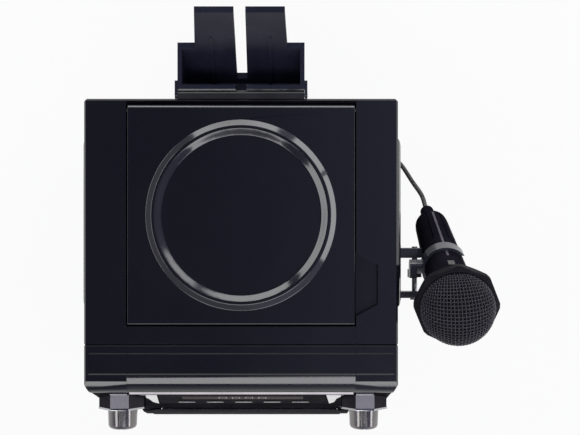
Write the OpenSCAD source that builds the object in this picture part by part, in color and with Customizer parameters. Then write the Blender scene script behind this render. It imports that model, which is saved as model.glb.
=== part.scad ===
// Karaoke machine with a disc tray under a hinged lid on its top, a tablet cradle
// hinged behind the top edge, a loudspeaker in the front and a microphone held
// in a clip on the right side.
// Origin: on the ground under the middle of the whole machine, microphone and cradle
// included. Front is -Y, right is +X.

/* [Cabinet] */
// Width of the cabinet between its side walls, outside
body_w = 220; // [200:1:290]
// Depth of the cabinet at its top, seam halves together
body_d = 207; // [196:1:260]
// Height of the cabinet above its feet
body_h = 294; // [270:1:380]
// Height of the rubber feet
foot_h = 6; // [4:0.5:12]
// Wall thickness of the mouldings
wall = 2.5; // [2:0.25:3.5]
// Depth of the front half at the top, seam to bezel edge
bezel_d = 34.6; // [30:0.5:45]

/* [Front] */
// How far the sloping control face comes forward
panel_run = 14.4; // [8:0.2:20]
// Height of the sloping control face
panel_rise = 50; // [44:1:62]
// Height of the plain strip between control face and grille
strip_rise = 14; // [10:1:20]
// Width of the grille opening
grille_w = 160; // [140:1:180]
// Height of the grille
grille_h = 176; // [160:1:200]
// How far the middle of the grille stands forward of its edge
grille_bulge = 17; // [8:0.5:24]
// Spacing of the holes in the grille sheet
hole_pitch = 11; // [9:0.5:16]
// Diameter of the rotary knobs
knob_d = 21.7; // [16:0.1:26]
// Length of the rotary knobs
knob_len = 16.3; // [10:0.1:20]
// Outside diameter of the loudspeaker frame
speaker_d = 146; // [120:1:160]

/* [Disc deck] */
// Diameter of the disc it plays
disc_d = 120; // [80:1:120]
// Width of the lid
lid_w = 159.3; // [150:0.1:170]
// Length of the lid from hinge edge to front edge
lid_len = 156; // [150:0.5:165]
// Distance of the disc centre in front of the back face
disc_back = 81.5; // [78:0.5:90]
// How far the ring on the lid stands up
ring_rise = 2.4; // [1:0.1:5]
// How far the lid opens, degrees
lid_open = 75; // [60:1:80]

/* [Tablet cradle] */
// Width of the cradle between its outer side faces
cradle_w = 89; // [70:1:110]
// Depth of the channel for the tablet's edge
channel_h = 27; // [18:1:30]
// Height of the prong tips above the top face
prong_up = 26; // [15:1:50]
// Thickness of the cradle plate, square to its face
plate_t = 3.3; // [2.4:0.1:5]

/* [Microphone] */
// Distance of the microphone axis from the cabinet's side wall
mic_out = 39; // [38:0.5:60]
// Lean of the microphone from upright, degrees
mic_lean = 20.8; // [10:0.1:30]
// Handle length from tail to neck
handle_len = 163; // [140:1:190]
// Diameter of the round microphone head
head_d = 52; // [46:0.5:58]
// Width across the flats of the ring round the head
ring_w = 56; // [50:0.5:62]
// Diameter of the handle where the clip holds it
grip_d = 30; // [26:0.5:34]
// Diameter of the microphone cord
cord_d = 4; // [3.4:0.1:5]

/* [Hidden] */
$fn = 64;

shell_c = [0.05, 0.05, 0.08];
dark_c = [0.12, 0.12, 0.13];
chrome_c = [0.80, 0.81, 0.83];
steel_c = [0.62, 0.63, 0.65];
board_c = [0.10, 0.35, 0.18];
rubber_c = [0.09, 0.09, 0.09];

// Cabinet planes
top_z = foot_h + body_h;
side_x = body_w / 2;
back_y = body_d / 2;
bezel_y = -body_d / 2;
seam_y = bezel_y + bezel_d;
edge = 1.2;            // chamfer along outer edges
seam_cut = 0.8;        // half of the small groove at the seam

// Control face, a plane leaning back from its foot
round_y = 14;          // depth of the rounded front edge of the top
round_z = 8;           // its height
lip_z = top_z - round_z;
foot_z = lip_z - panel_rise;
face_y = bezel_y - panel_run;
panel_lean = atan(panel_run / panel_rise);
panel_len = norm([panel_run, panel_rise]);
grille_top = foot_z - strip_rise;
grille_bot = grille_top - grille_h;
front_y = face_y - 6;
grille_mid = (grille_top + grille_bot) / 2;
knob_x = side_x - 21.7;
knob_z = top_z - 38;
seat_y = bezel_y - 13.8;
jack_x = side_x - 29;
bulge_r = (grille_bulge * grille_bulge + grille_h * grille_h / 4) / (2 * grille_bulge);

// Disc deck
disc_y = back_y - disc_back;
gap = 1;               // running gap round the lid
lid_back = back_y - 2.6;
lid_front = lid_back - lid_len;
line_x = (lid_w + gap) / 2;   // joint lines in line with the lid's sides
line_w = 0.4;
mast_r = 3;            // masts under the tray that carry the deck
lid_t = 2.2;
lid_skirt = 6;
hinge_r = 5;
hinge_y = lid_back - hinge_r;
hinge_z = top_z - hinge_r;
pin_d = 4;
shaft_gap = 0.05;      // radial clearance of every shaft in its hole
seat_gap = 0.02;       // radial clearance of pieces that stay in their holes
shelf_z = top_z - 12.6;
well_r = disc_d / 2 + 3;
well_z = top_z - 22;   // underside of the round well's floor
tray_x = lid_w / 2 + gap + 3.4;
tray_front = lid_front - gap - 4;
tray_back = back_y - wall;
deck_z = top_z - 36;   // underside of the deck plate
deck_t = 2;
deck_x = 45;
deck_front = disc_y - 81;
deck_back = disc_y + 22;
rod_x = 22;
rod_d = 3;
rod_z = top_z - 29;
sled_in = 23.5;        // lens distance from the disc centre, inner stop
sled_travel = 33;
rack_x = 27;           // pitch line of the rack on the pickup
gear_teeth = 16;
gear_r = gear_teeth / 2;
gear_y = disc_y - sled_in - 5 * PI;
finger_y = -26.6;      // middle of the finger cup

// Cradle
pin_y = back_y + 3.1;
pin_z = top_z - 3.4;
lip_y = pin_y + 3.7;
plate_y = back_y + 13.8;
channel_z = top_z - channel_h;
cradle_run = 0.789;    // backward run of the plate for each unit of rise
shoulder_x = cradle_w / 2 - 12;

// Microphone and its holder
trim_t = 3.4;
mic_x = side_x + mic_out;
mic_y = -16;
holder_y = -10;
mic_z = top_z - 49;
tail_l = -118.7;       // tail end, along the handle from the clip
neck_l = tail_l + handle_len;
shoulder_l = tail_l + 30; // end of the tapered cord sleeve
ring_l = neck_l + 22;
holder_z = top_z - 60;
holder_x = side_x + 18;
clip_t = 2.3;
clip_h = 12;
taper = 0.0225;        // growth of the handle radius along its length

// Back panel
panel_z0 = foot_h + 34;
panel_z1 = panel_z0 + 60;
panel_x = 75;
mic_jack_x = 26;
jack_z = panel_z0 + 30;

// Middle of the machine's outline, worked out in the cabinet's own coordinates
plate_deep = plate_t * norm([1, cradle_run]);
right_x = mic_x + ring_w / 2 + 1.6;
left_x = -side_x - trim_t;
rear_y = plate_y + plate_deep + cradle_run * (prong_up + channel_h);
grille_y = front_y - grille_bulge - 0.6;

// Every piece is drawn about the middle of the cabinet, then moved over the origin
module placed() {
    translate([-(left_x + right_x) / 2, -(grille_y + rear_y) / 2, 0]) children();
}

// Simple solids used below
module block(x0, x1, y0, y1, z0, z1) {
    translate([x0, y0, z0]) cube([x1 - x0, y1 - y0, z1 - z0]);
}

// Bar of a side outline given as [y, z] points
module side_bar(x0, x1, points) {
    translate([x0, 0, 0]) rotate([90, 0, 90]) linear_extrude(x1 - x0) polygon(points);
}

// Rod along X, along Y and upright
module rod_x_dir(x0, x1, y, z, r) {
    translate([x0, y, z]) rotate([0, 90, 0]) cylinder(r = r, h = x1 - x0);
}

module rod_y_dir(x, y0, y1, z, r) {
    translate([x, y1, z]) rotate([90, 0, 0]) cylinder(r = r, h = y1 - y0);
}

module post(x, y, z0, z1, r) {
    translate([x, y, z0]) cylinder(r = r, h = z1 - z0);
}

module round_rect(w, h, r) {
    square([w - 2 * r, h], center = true);
    square([w, h - 2 * r], center = true);
    for (sx = [-1, 1], sy = [-1, 1])
        translate([sx * (w / 2 - r), sy * (h / 2 - r)]) circle(r);
}

// Frame on the middle of the control face: x right, y up the slope, z outward
module on_panel() {
    translate([0, (bezel_y + face_y) / 2, (lip_z + foot_z) / 2])
        rotate([90 - panel_lean, 0, 0]) children();
}

// Frame on the strip above the grille, same directions
module on_strip(x) {
    translate([x, (face_y + front_y) / 2, foot_z - strip_rise / 2])
        rotate([90 - atan(6 / strip_rise), 0, 0]) children();
}

// Frame in the microphone: z runs from tail to head, origin at the clip
module on_mic() {
    translate([mic_x, mic_y, mic_z]) rotate([mic_lean, 0, 0]) children();
}

// Cabinet halves
function rear_plan(c) = [
    [-side_x + seam_cut, seam_y], [-side_x, seam_y + seam_cut],
    [-side_x, back_y - c], [-side_x + c, back_y],
    [side_x - c, back_y], [side_x, back_y - c],
    [side_x, seam_y + seam_cut], [side_x - seam_cut, seam_y]
];

module finger_cup(grow, z0, z1) {
    x0 = lid_w / 2 + 0.9;
    x1 = side_x - 14.1 + grow;
    translate([0, 0, z0]) linear_extrude(z1 - z0) polygon([
        [x0, finger_y + 22.4 + grow], [x1, finger_y + 14 + grow],
        [x1, finger_y - 14 - grow], [x0, finger_y - 22.4 - grow]
    ]);
}

module rear_cabinet() {
    color(shell_c) difference() {
        union() {
            difference() {
                intersection() {
                    translate([0, 0, foot_h]) linear_extrude(body_h) polygon(rear_plan(edge + 0.8));
                    side_bar(-side_x, side_x, [
                        [seam_y, foot_h], [back_y, foot_h],
                        [back_y, top_z - edge], [back_y - edge, top_z],
                        [seam_y + seam_cut, top_z], [seam_y, top_z - seam_cut]
                    ]);
                    translate([0, back_y, 0]) rotate([90, 0, 0]) linear_extrude(body_d)
                        polygon([
                            [-side_x, foot_h], [side_x, foot_h],
                            [side_x, top_z - edge], [side_x - edge, top_z],
                            [-side_x + edge, top_z], [-side_x, top_z - edge]
                        ]);
                }
                block(-side_x + wall, side_x - wall, seam_y - 1, back_y - wall,
                    foot_h - 1, top_z - wall);
            }
            // floor of the finger cup
            finger_cup(2, top_z - 9.5, top_z - wall);
            // screw posts for the base and for the front half
            for (sx = [-1, 1]) {
                block(sx * (side_x - 9) - 5, sx * (side_x - 9) + 5,
                    back_y - wall - 9.5, back_y - wall, foot_h + wall, foot_h + 30);
                for (z = [foot_h + 60, top_z - 60])
                    block(sx * (side_x - 7.2) - 5, sx * (side_x - 7.2) + 5,
                        seam_y, seam_y + 12, z - 5, z + 5);
            }
        }
        // opening for the lid
        block(-lid_w / 2 - gap, lid_w / 2 + gap, lid_front - gap, lid_back + 0.9,
            top_z - 9.6, top_z + 1);
        finger_cup(0, top_z - 7.5, top_z + 1);
        // joint lines between the cheeks and the middle
        for (sx = [-1, 1])
            block(sx * line_x - line_w / 2, sx * line_x + line_w / 2,
                seam_y - 1, lid_front, top_z - 1.2, top_z + 1);
        // opening for the back panel
        block(-panel_x + 5, panel_x - 5, back_y - wall - 1, back_y + 1, panel_z0 + 5, panel_z1 - 5);
        // screw holes
        for (sx = [-1, 1]) {
            post(sx * (side_x - 9), back_y - wall - 4.5, foot_h, foot_h + 16, 1.3);
            for (z = [foot_h + 60, top_z - 60])
                rod_y_dir(sx * (side_x - 7.2), seam_y - 1, seam_y + 13, z, 1.6);
            for (z = [panel_z0 + 2.5, panel_z1 - 2.5])
                rod_y_dir(sx * (panel_x - 2.5), back_y - wall - 1, back_y + 1, z, 1.3);
        }
        // vents low in the back
        for (x = [-4:4])
            block(x * 9 - 2, x * 9 + 2, back_y - wall - 1, back_y + 1,
                top_z - 130, top_z - 80);
        // holes for the bracket screws of the cradle
        for (sx = [-1, 1])
            rod_y_dir(sx * 30, back_y - wall - 1, back_y + 1, top_z - 15.6, 1.3);
    }
}

// Upright outline of the front half, moved inward by w; its top edge is a quarter ellipse
function front_outline(w) = [
    [seam_y, top_z - w],
    for (a = [0:10:90])
        [bezel_y + w + (round_y - w) * (1 - sin(a)), lip_z + (round_z - w) * cos(a)],
    [face_y + w, foot_z], [front_y + w, grille_top],
    [front_y + w, grille_bot - 4], [front_y + 8 + w, foot_h + w],
    [seam_y, foot_h + w]
];

// The cheeks beside the lid keep their height further forward
cheek_outline = [
    [seam_y, lip_z], [seam_y, top_z], [bezel_y + 9.2, top_z], [bezel_y + 8.4, top_z - 0.15],
    [bezel_y + 3.6, top_z - 1.5], [bezel_y + 1.6, top_z - 2.9], [bezel_y + 0.5, top_z - 5],
    [bezel_y, lip_z]
];

function front_plan(w) = [
    [-side_x + w, seam_y + 1], [-side_x + w, bezel_y + 6.5], [-side_x + 4 + w, bezel_y - 1],
    [-side_x + 6 + w, front_y - 2], [side_x - 6 - w, front_y - 2],
    [side_x - 4 - w, bezel_y - 1], [side_x - w, bezel_y + 6.5], [side_x - w, seam_y + 1]
];

module front_cabinet() {
    color(shell_c) difference() {
        union() {
            difference() {
                intersection() {
                    union() {
                        side_bar(-side_x, side_x, front_outline(0));
                        side_bar(-side_x, -line_x, cheek_outline);
                        side_bar(line_x, side_x, cheek_outline);
                    }
                    linear_extrude(top_z + 1) polygon(front_plan(0));
                    translate([0, seam_y, 0]) rotate([90, 0, 0]) linear_extrude(60)
                        polygon([
                            [-side_x, foot_h], [side_x, foot_h],
                            [side_x, top_z - edge], [side_x - edge, top_z],
                            [-side_x + edge, top_z], [-side_x, top_z - edge]
                        ]);
                }
                intersection() {
                    side_bar(-side_x, side_x, front_outline(wall));
                    linear_extrude(top_z + 1) polygon(front_plan(wall));
                }
                block(-side_x + wall, side_x - wall, seam_y - 20, seam_y + 1,
                    foot_h - 1, top_z - wall - 0.5);
                floor_slab(seam_y + 1, foot_h - 1, foot_h + wall + 0.5);
            }
            // eight-sided knob seats growing out of the control face
            for (sx = [-1, 1]) intersection() {
                translate([sx * knob_x, seat_y, knob_z]) rotate([-90, 22.5, 0])
                    cylinder(d = 35, h = 20, $fn = 8);
                side_bar(-side_x, side_x, [
                    [bezel_y - 60, lip_z], [bezel_y + wall / 2, lip_z],
                    [face_y + wall / 2, foot_z], [bezel_y - 60, foot_z]
                ]);
            }
            // posts that take the long screws from the rear half
            for (sx = [-1, 1], z = [foot_h + 60, top_z - 60])
                block(sx * (side_x - 7.2) - 5, sx * (side_x - 7.2) + 5, seam_y - 14, seam_y,
                    z - 5, z + 5);
            for (sx = [-1, 1])
                block(sx * (side_x - 14) - 5, sx * (side_x - 14) + 5,
                    front_y + 8, front_y + 20, foot_h + wall, foot_h + 30);
            // pads that carry the loudspeaker
            for (a = [45:90:315])
                translate([0, front_y + wall - 0.5, grille_mid]) rotate([-90, a, 0])
                    translate([speaker_d / 2 - 5, 0, 0]) cylinder(r = 4.5, h = 3.5);
        }
        // shallow field on top, in front of the seam
        side_bar(-side_x + 2.7, side_x - 2.7, [
            [bezel_y + 28.8, top_z + 1], [bezel_y + 28.8, top_z],
            [bezel_y + 28, top_z - 0.8], [bezel_y + 14.4, top_z - 0.8],
            [bezel_y + 13.6, top_z], [bezel_y + 13.6, top_z + 1]
        ]);
        // joint lines between the cheeks and the middle
        for (sx = [-1, 1])
            block(sx * line_x - line_w / 2, sx * line_x + line_w / 2,
                bezel_y + round_y, seam_y + 1, top_z - 1.2, top_z + 1);
        // groove at the seam
        side_bar(-side_x - 1, side_x + 1, [
            [seam_y - seam_cut, top_z], [seam_y, top_z - seam_cut], [seam_y + 1, top_z + 1]
        ]);
        for (sx = [-1, 1]) linear_extrude(top_z + 1) polygon([
            [sx * side_x, seam_y - seam_cut], [sx * (side_x - seam_cut), seam_y],
            [sx * (side_x + 1), seam_y + 1]
        ]);
        // sound opening
        rod_y_dir(0, front_y - 1, front_y + wall + 4, grille_mid, speaker_d / 2 - 10);
        // windows for display and keys
        on_panel() {
            translate([-46, -3, -9]) cube([92, 21, 20]);
            for (i = [-2:2]) translate([i * 21, -13.5, -9]) linear_extrude(20) round_rect(15, 7.4, 2.5);
            for (sx = [-1, 1]) translate([sx * 68.5, 14, -9]) cylinder(d = 3, h = 20);
        }
        // lamps above the knobs, shafts of the two level controls, front sockets
        on_panel() for (sx = [-1, 1])
            translate([sx * (knob_x - 0.9) - 5, 19.5, -9]) cube([10, 3.6, 20]);
        for (sx = [-1, 1]) {
            rod_y_dir(sx * knob_x, seat_y - 1, seat_y + 20, knob_z, 3.6);
            on_strip(sx * jack_x) translate([0, 0, -9]) cylinder(r = 4.2 + seat_gap, h = 20);
        }
        // screw holes
        for (sx = [-1, 1]) {
            for (z = [foot_h + 60, top_z - 60])
                rod_y_dir(sx * (side_x - 7.2), seam_y - 13, seam_y + 1, z, 1.3);
            post(sx * (side_x - 14), front_y + 14, foot_h, foot_h + 16, 1.3);
        }
        for (a = [45:90:315])
            translate([0, front_y + wall - 0.2, grille_mid]) rotate([-90, a, 0])
                translate([speaker_d / 2 - 5, 0, 0]) cylinder(r = 1.3, h = 6);
    }
}

// Bottom plate outline, its front corners following the front half
module floor_slab(y1, z0, z1) {
    x1 = side_x - wall;
    translate([0, 0, z0]) linear_extrude(z1 - z0) polygon([
        [-x1, y1], [x1, y1], [x1, bezel_y + 6.5], [x1 - 4, bezel_y - 1],
        [x1 - 4.9, front_y + 8 + wall], [-x1 + 4.9, front_y + 8 + wall],
        [-x1 + 4, bezel_y - 1], [-x1, bezel_y + 6.5]
    ]);
}

module base_plate() {
    color(shell_c) difference() {
        floor_slab(back_y - wall, foot_h, foot_h + wall);
        for (sx = [-1, 1]) {
            post(sx * (side_x - 9), back_y - wall - 4.5, foot_h - 1, foot_h + wall + 1, 1.6);
            post(sx * (side_x - 14), front_y + 14, foot_h - 1, foot_h + wall + 1, 1.6);
        }
        // cooling slots
        for (x = [-5:5]) block(x * 10 - 2, x * 10 + 2, -30, 30, foot_h - 1, foot_h + wall + 1);
    }
}

module rubber_feet() {
    color(rubber_c) for (sx = [-1, 1], y = [back_y - 22, bezel_y + 8])
        translate([sx * (side_x - 24), y, 0]) {
            cylinder(r = 9, h = foot_h - 1);
            translate([0, 0, foot_h - 1]) cylinder(r = 8, h = 1);
        }
}

// One pan-head screw, point upward
module screw(r, head_r, head_h, l) {
    cylinder(r = head_r, h = head_h);
    translate([0, 0, head_h]) cylinder(r = r, h = l);
}

module case_screws() {
    color(steel_c) {
        for (sx = [-1, 1]) {
            translate([sx * (side_x - 9), back_y - wall - 4.5, foot_h - 1.8]) screw(1.3, 2.8, 1.8, 14);
            translate([sx * (side_x - 14), front_y + 14, foot_h - 1.8]) screw(1.3, 2.8, 1.8, 14);
            for (z = [foot_h + 60, top_z - 60])
                translate([sx * (side_x - 7.2), seam_y + 14, z]) rotate([90, 0, 0])
                    screw(1.3, 2.8, 2, 25);
            for (z = [panel_z0 + 2.5, panel_z1 - 2.5])
                translate([sx * (panel_x - 2.5), back_y + 1.6, z]) rotate([90, 0, 0])
                    screw(1.3, 2.5, 1.6, 7);
            translate([sx * 30, back_y - wall - 1.6, top_z - 15.6]) rotate([-90, 0, 0])
                screw(1.3, 2.5, 1.6, 4.6);
        }
        for (a = [45:90:315])
            translate([0, front_y + wall + 6.6, grille_mid]) rotate([90, a, 0])
                translate([speaker_d / 2 - 5, 0, 0]) screw(1.3, 2.8, 1.6, 5);
        for (sx = [-1, 1], y = [deck_front + 8, deck_back - 8])
            translate([sx * (deck_x - 8), y, deck_z - 4.3]) screw(1, 5, 1.8, 8);
    }
}

// Bowed panels on the two sides
module side_trims() {
    color(shell_c) for (sx = [-1, 1]) translate([sx * side_x, back_y - 87, 0])
        scale([sx, 1, 1]) difference() {
            intersection() {
                linear_extrude(top_z) polygon([
                    [0, -60], [1.6, -59.4], [2.8, -57.6], [trim_t, -54.6],
                    [trim_t, 54.6], [2.8, 57.6], [1.6, 59.4], [0, 60]
                ]);
                translate([0, 70, 0]) rotate([90, 0, 0]) linear_extrude(140) polygon([
                    [0, foot_h + 52], [2, foot_h + 53.2], [trim_t, foot_h + 57],
                    [trim_t, top_z - 17], [2, top_z - 13.2], [0, top_z - 12]
                ]);
            }
            block(trim_t - 0.8, trim_t + 1, 8, 46, foot_h + 80, top_z - 40);
        }
}

module jack_panel() {
    color(dark_c) difference() {
        union() {
            block(-panel_x, panel_x, back_y - wall - 2, back_y - wall, panel_z0, panel_z1);
            for (sx = [-1, 1], z = [panel_z0 + 2.5, panel_z1 - 2.5])
                block(sx * (panel_x - 3.5) - 3.5, sx * (panel_x - 3.5) + 3.5,
                    back_y - wall - 7, back_y - wall - 1, z - 2.5, z + 2.5);
            // cage of the power switch
            block(-9, 9, back_y - wall - 12, back_y - wall - 1, jack_z - 12, jack_z + 12);
        }
        rod_x_dir(-8, 8, back_y - wall - 2, jack_z, 1.4 + shaft_gap);
        for (sx = [-1, 1], z = [panel_z0 + 2.5, panel_z1 - 2.5])
            rod_y_dir(sx * (panel_x - 2.5), back_y - wall - 6, back_y, z, 1.3);
        for (i = [0:2]) rod_y_dir(-52 + i * 14, back_y - 10, back_y, jack_z, 4.5 + seat_gap);
        rod_y_dir(mic_jack_x, back_y - 10, back_y, jack_z, 4.5 + seat_gap);
        block(-7, 7, back_y - wall - 10, back_y, jack_z - 10, jack_z + 10);
        block(46, 68, back_y - 10, back_y, jack_z - 6, jack_z + 6);
    }
}

// Phono sockets for picture and sound
module rca_jacks() {
    color(steel_c) for (i = [0:2]) translate([-52 + i * 14, back_y - wall, jack_z])
        rotate([-90, 0, 0]) difference() {
            union() {
                translate([0, 0, -14]) cylinder(r = 4.5, h = 14);
                cylinder(r = 4.15, h = 9);
                translate([0, 0, -8]) cylinder(r = 6, h = 6);
            }
            translate([0, 0, -3]) cylinder(r = 1.7, h = 20);
            difference() {
                translate([0, 0, 1]) cylinder(r = 3.7, h = 20);
                cylinder(r = 2.6, h = 7);
            }
        }
}

module mic_jack() {
    color(chrome_c) translate([mic_jack_x, back_y - wall, jack_z]) rotate([-90, 0, 0])
        difference() {
            union() {
                translate([0, 0, -2]) cylinder(r = 4.5, h = 5);
                cylinder(r = 6.5, h = 2.4, $fn = 6);
                translate([-7, -8, -26]) cube([14, 16, 24]);
            }
            translate([0, 0, -24]) cylinder(r = 3.2 + shaft_gap, h = 40);
        }
}

module power_inlet() {
    color(dark_c) translate([57, back_y - wall, jack_z]) rotate([-90, 0, 0]) difference() {
        union() {
            linear_extrude(1.2) round_rect(26, 16, 2);
            translate([0, 0, -18]) linear_extrude(18) square([22, 12], center = true);
        }
        translate([0, 0, -13]) linear_extrude(20) difference() {
            union() {
                for (sx = [-1, 1]) translate([sx * 4.3, 0]) circle(r = 4.4);
                square([8.6, 8.8], center = true);
            }
            for (sx = [-1, 1]) translate([sx * 4.3, 0]) circle(r = 1.2);
        }
    }
}

// Rocker on a cross pin; its pin runs along X
module power_switch() {
    color(dark_c) translate([0, back_y - wall - 2, jack_z]) rotate([8, 0, 0]) {
        rotate([0, 90, 0]) cylinder(r = 1.4, h = 15.6, center = true);
        side_bar(-5.5, 5.5, [[-4, -5], [3, -8.4], [1.8, 0], [3, 8.4], [-4, 5]]);
    }
}

// Round basin with the shelf under the lid
module disc_tray() {
    color(dark_c) difference() {
        union() {
            difference() {
                block(-tray_x, tray_x, tray_front, tray_back, shelf_z, top_z - wall);
                block(-lid_w / 2 - gap, lid_w / 2 + gap, lid_front - gap, back_y,
                    shelf_z + 2, top_z);
            }
            post(0, disc_y, well_z, shelf_z + 1, well_r + 2);
            for (sx = [-1, 1], y = [deck_front + 8, deck_back - 8])
                post(sx * (deck_x - 8), y, deck_z - 2.5, well_z + 3, mast_r);
            for (sx = [-1, 1])
                post(sx * (deck_x - 8), deck_front + 8, well_z - 0.5, shelf_z + 1, 6);
        }
        post(0, disc_y, well_z + 2, top_z, well_r);
        post(0, disc_y, well_z - 1, top_z, 17.5);
        block(-9, 9, disc_y - 63, disc_y - 12, well_z - 1, well_z + 3);
        // notch under the finger cup
        block(lid_w / 2 + gap - 1.1, tray_x + 1, finger_y - 25.4, finger_y + 25.4,
            shelf_z + 2.1, top_z);
        // finger notches beside the disc
        for (a = [45, 135]) translate([0, disc_y, 0]) rotate([0, 0, a])
            translate([-well_r - 5, 0, shelf_z - 3]) cylinder(r = 9, h = 20);
        for (sx = [-1, 1]) {
            rod_x_dir(sx * (tray_x - 2) - 3, sx * (tray_x - 2) + 3, hinge_y, hinge_z,
                pin_d / 2 + seat_gap);
            for (y = [deck_front + 8, deck_back - 8])
                post(sx * (deck_x - 8), y, deck_z - 3, deck_z + 8, 1);
        }
    }
}

module disc_lid() {
    lid_x = lid_w / 2;
    color(shell_c) difference() {
        union() {
            difference() {
                union() {
                    intersection() {
                        block(-lid_x, lid_x, lid_front, hinge_y, top_z - lid_skirt, top_z);
                        side_bar(-lid_x, lid_x, [
                            [lid_front, top_z - lid_skirt], [hinge_y, top_z - lid_skirt],
                            [hinge_y, top_z], [lid_front + 0.8, top_z], [lid_front, top_z - 0.8]
                        ]);
                    }
                    rod_x_dir(-lid_x, lid_x, hinge_y, hinge_z, hinge_r);
                }
                block(-lid_x + 2, lid_x - 2, lid_front + 2, hinge_y - 0.01,
                    top_z - lid_skirt - 8, top_z - lid_t);
                rod_x_dir(-lid_x + 12, lid_x - 12, hinge_y, hinge_z, hinge_r - 2.2);
                block(-lid_x + 12, lid_x - 12, hinge_y - hinge_r - 1, hinge_y + hinge_r + 1,
                    top_z - 12, hinge_z);
                block(-lid_x + 12, lid_x - 12, hinge_y - hinge_r - 1, hinge_y,
                    top_z - 12, top_z - lid_t);
            }
            // raised ring over the disc
            translate([0, disc_y, top_z - 1]) rotate_extrude($fn = 120) polygon([
                [disc_d / 2 - 3.8, 0], [disc_d / 2 - 3.8, 1], [disc_d / 2 + 0.7, 1 + ring_rise],
                [disc_d / 2 + 2.8, 1 + ring_rise], [disc_d / 2 + 6.8, 1], [disc_d / 2 + 6.8, 0]
            ]);
            // clamp boss above the hub
            translate([0, disc_y, top_z - 8.5]) difference() {
                cylinder(r = 15, h = 8);
                translate([0, 0, -1]) cylinder(r = 12.6, h = 8.3);
            }
        }
        for (sx = [-1, 1])
            rod_x_dir(sx * (lid_x - 3) - 7.5, sx * (lid_x - 3) + 7.5, hinge_y, hinge_z,
                pin_d / 2 + shaft_gap);
    }
}

module lid_pins() {
    color(steel_c) for (sx = [-1, 1])
        rod_x_dir(sx * (lid_w / 2 - 2.5) - 6.6, sx * (lid_w / 2 - 2.5) + 6.6, hinge_y, hinge_z,
            pin_d / 2);
}

module spindle_hub() {
    color(dark_c) translate([0, disc_y, 0]) {
        post(0, 0, top_z - 20, top_z - 17.5, 15.5);
        post(0, 0, top_z - 17.5, top_z - 13.6, 7.4);
        translate([0, 0, top_z - 13.6]) rotate_extrude() polygon([[0, 0], [7.4, 0], [5.6, 1.6], [0, 1.6]]);
        post(0, 0, top_z - 30, top_z - 20, 1);
    }
}

module spindle_motor() {
    color(steel_c) translate([0, disc_y, 0]) difference() {
        union() {
            post(0, 0, deck_z + deck_t, top_z - 22.5, 12);
            post(0, 0, top_z - 22.5, top_z - 21.2, 3.2);
        }
        post(0, 0, top_z - 31, top_z, 1 + shaft_gap);
    }
}

module deck_plate() {
    color(steel_c) difference() {
        union() {
            block(-deck_x, deck_x, deck_front, deck_back, deck_z, deck_z + deck_t);
            for (sx = [-1, 1], y = [deck_front + 2, disc_y + 15])
                block(sx * rod_x - 4, sx * rod_x + 4, y, y + 5, deck_z + deck_t - 0.5, rod_z + 3);
            post(rack_x + gear_r, gear_y, deck_z + deck_t - 0.5, rod_z + 1, 1.5);
        }
        for (sx = [-1, 1]) {
            for (y = [deck_front + 8, deck_back - 8])
                post(sx * (deck_x - 8), y, deck_z - 1, deck_z + 3, 5);
            rod_y_dir(sx * rod_x, deck_front + 3, disc_y + 19, rod_z, rod_d / 2);
        }
        block(-12, 12, deck_front + 12, disc_y - 18, deck_z - 1, deck_z + 3);
    }
}

module damper_grommets() {
    color(rubber_c) for (sx = [-1, 1], y = [deck_front + 8, deck_back - 8])
        translate([sx * (deck_x - 8), y, deck_z - 1.8]) rotate_extrude() polygon([
            [mast_r + seat_gap, 0], [6.2, 0], [6.2, 1.8], [5, 1.8], [5, 3.8], [6.2, 3.8],
            [6.2, 5.6], [mast_r + seat_gap, 5.6]
        ]);
}

module rack_tooth_row() {
    for (i = [-5:6]) translate([0, i * PI, 0]) linear_extrude(4)
        polygon([[-1.2, -0.95], [0.85, -0.35], [0.85, 0.35], [-1.2, 0.95]]);
}

// Sled with the lens turret; drawn at its inner stop
module optical_pickup() {
    lens_y = disc_y - sled_in;
    color(dark_c) difference() {
        union() {
            block(-rack_x + 1, rack_x - 1, lens_y - 17, lens_y + 8.5, rod_z - 4, rod_z + 4.5);
            post(0, lens_y, rod_z + 4, top_z - 20.6, 5);
            block(rack_x - 3, rack_x - 1, lens_y - 17, lens_y + 20.5, rod_z - 4, rod_z);
            translate([rack_x, lens_y, rod_z - 4]) rack_tooth_row();
        }
        for (sx = [-1, 1])
            rod_y_dir(sx * rod_x, lens_y - 60, lens_y + 20, rod_z, rod_d / 2 + shaft_gap);
        post(0, lens_y, top_z - 23, top_z, 3.6);
    }
}

module pickup_lens() {
    color([0.45, 0.55, 0.75]) translate([0, disc_y - sled_in, top_z - 23]) {
        cylinder(r = 3.6, h = 1.6);
        translate([0, 0, 1.6]) cylinder(r1 = 2.6, r2 = 1.4, h = 1.2);
    }
}

module guide_rods() {
    color(steel_c) for (sx = [-1, 1])
        rod_y_dir(sx * rod_x, deck_front + 3, disc_y + 19, rod_z, rod_d / 2);
}

module sled_gear() {
    color([0.9, 0.9, 0.86]) translate([rack_x + gear_r, gear_y, rod_z - 4.2]) difference() {
        linear_extrude(4.2) polygon([
            for (i = [0:gear_teeth - 1], p = [[-1.1, -7], [0.8, -2.1], [0.8, 2.1], [-1.1, 7]])
                let (r = gear_r + p[0], a = (i + 0.5) * 360 / gear_teeth + p[1])
                [r * cos(a), r * sin(a)]
        ]);
        translate([0, 0, -1]) cylinder(r = 1.5 + shaft_gap, h = 8);
    }
}

// Sloping black panel between the chrome corners
module control_panel() {
    color(shell_c) on_panel() difference() {
        linear_extrude(1.5) polygon([
            [-59, panel_len / 2 - 1], [59, panel_len / 2 - 1],
            [62.5, -panel_len / 2 + 1.5], [-62.5, -panel_len / 2 + 1.5]
        ]);
        translate([-44, -1.5, -1]) cube([88, 18, 4]);
        for (i = [-2:2]) translate([i * 21, -13.5, -1]) linear_extrude(4) round_rect(13.4, 5.8, 2);
    }
}

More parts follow.
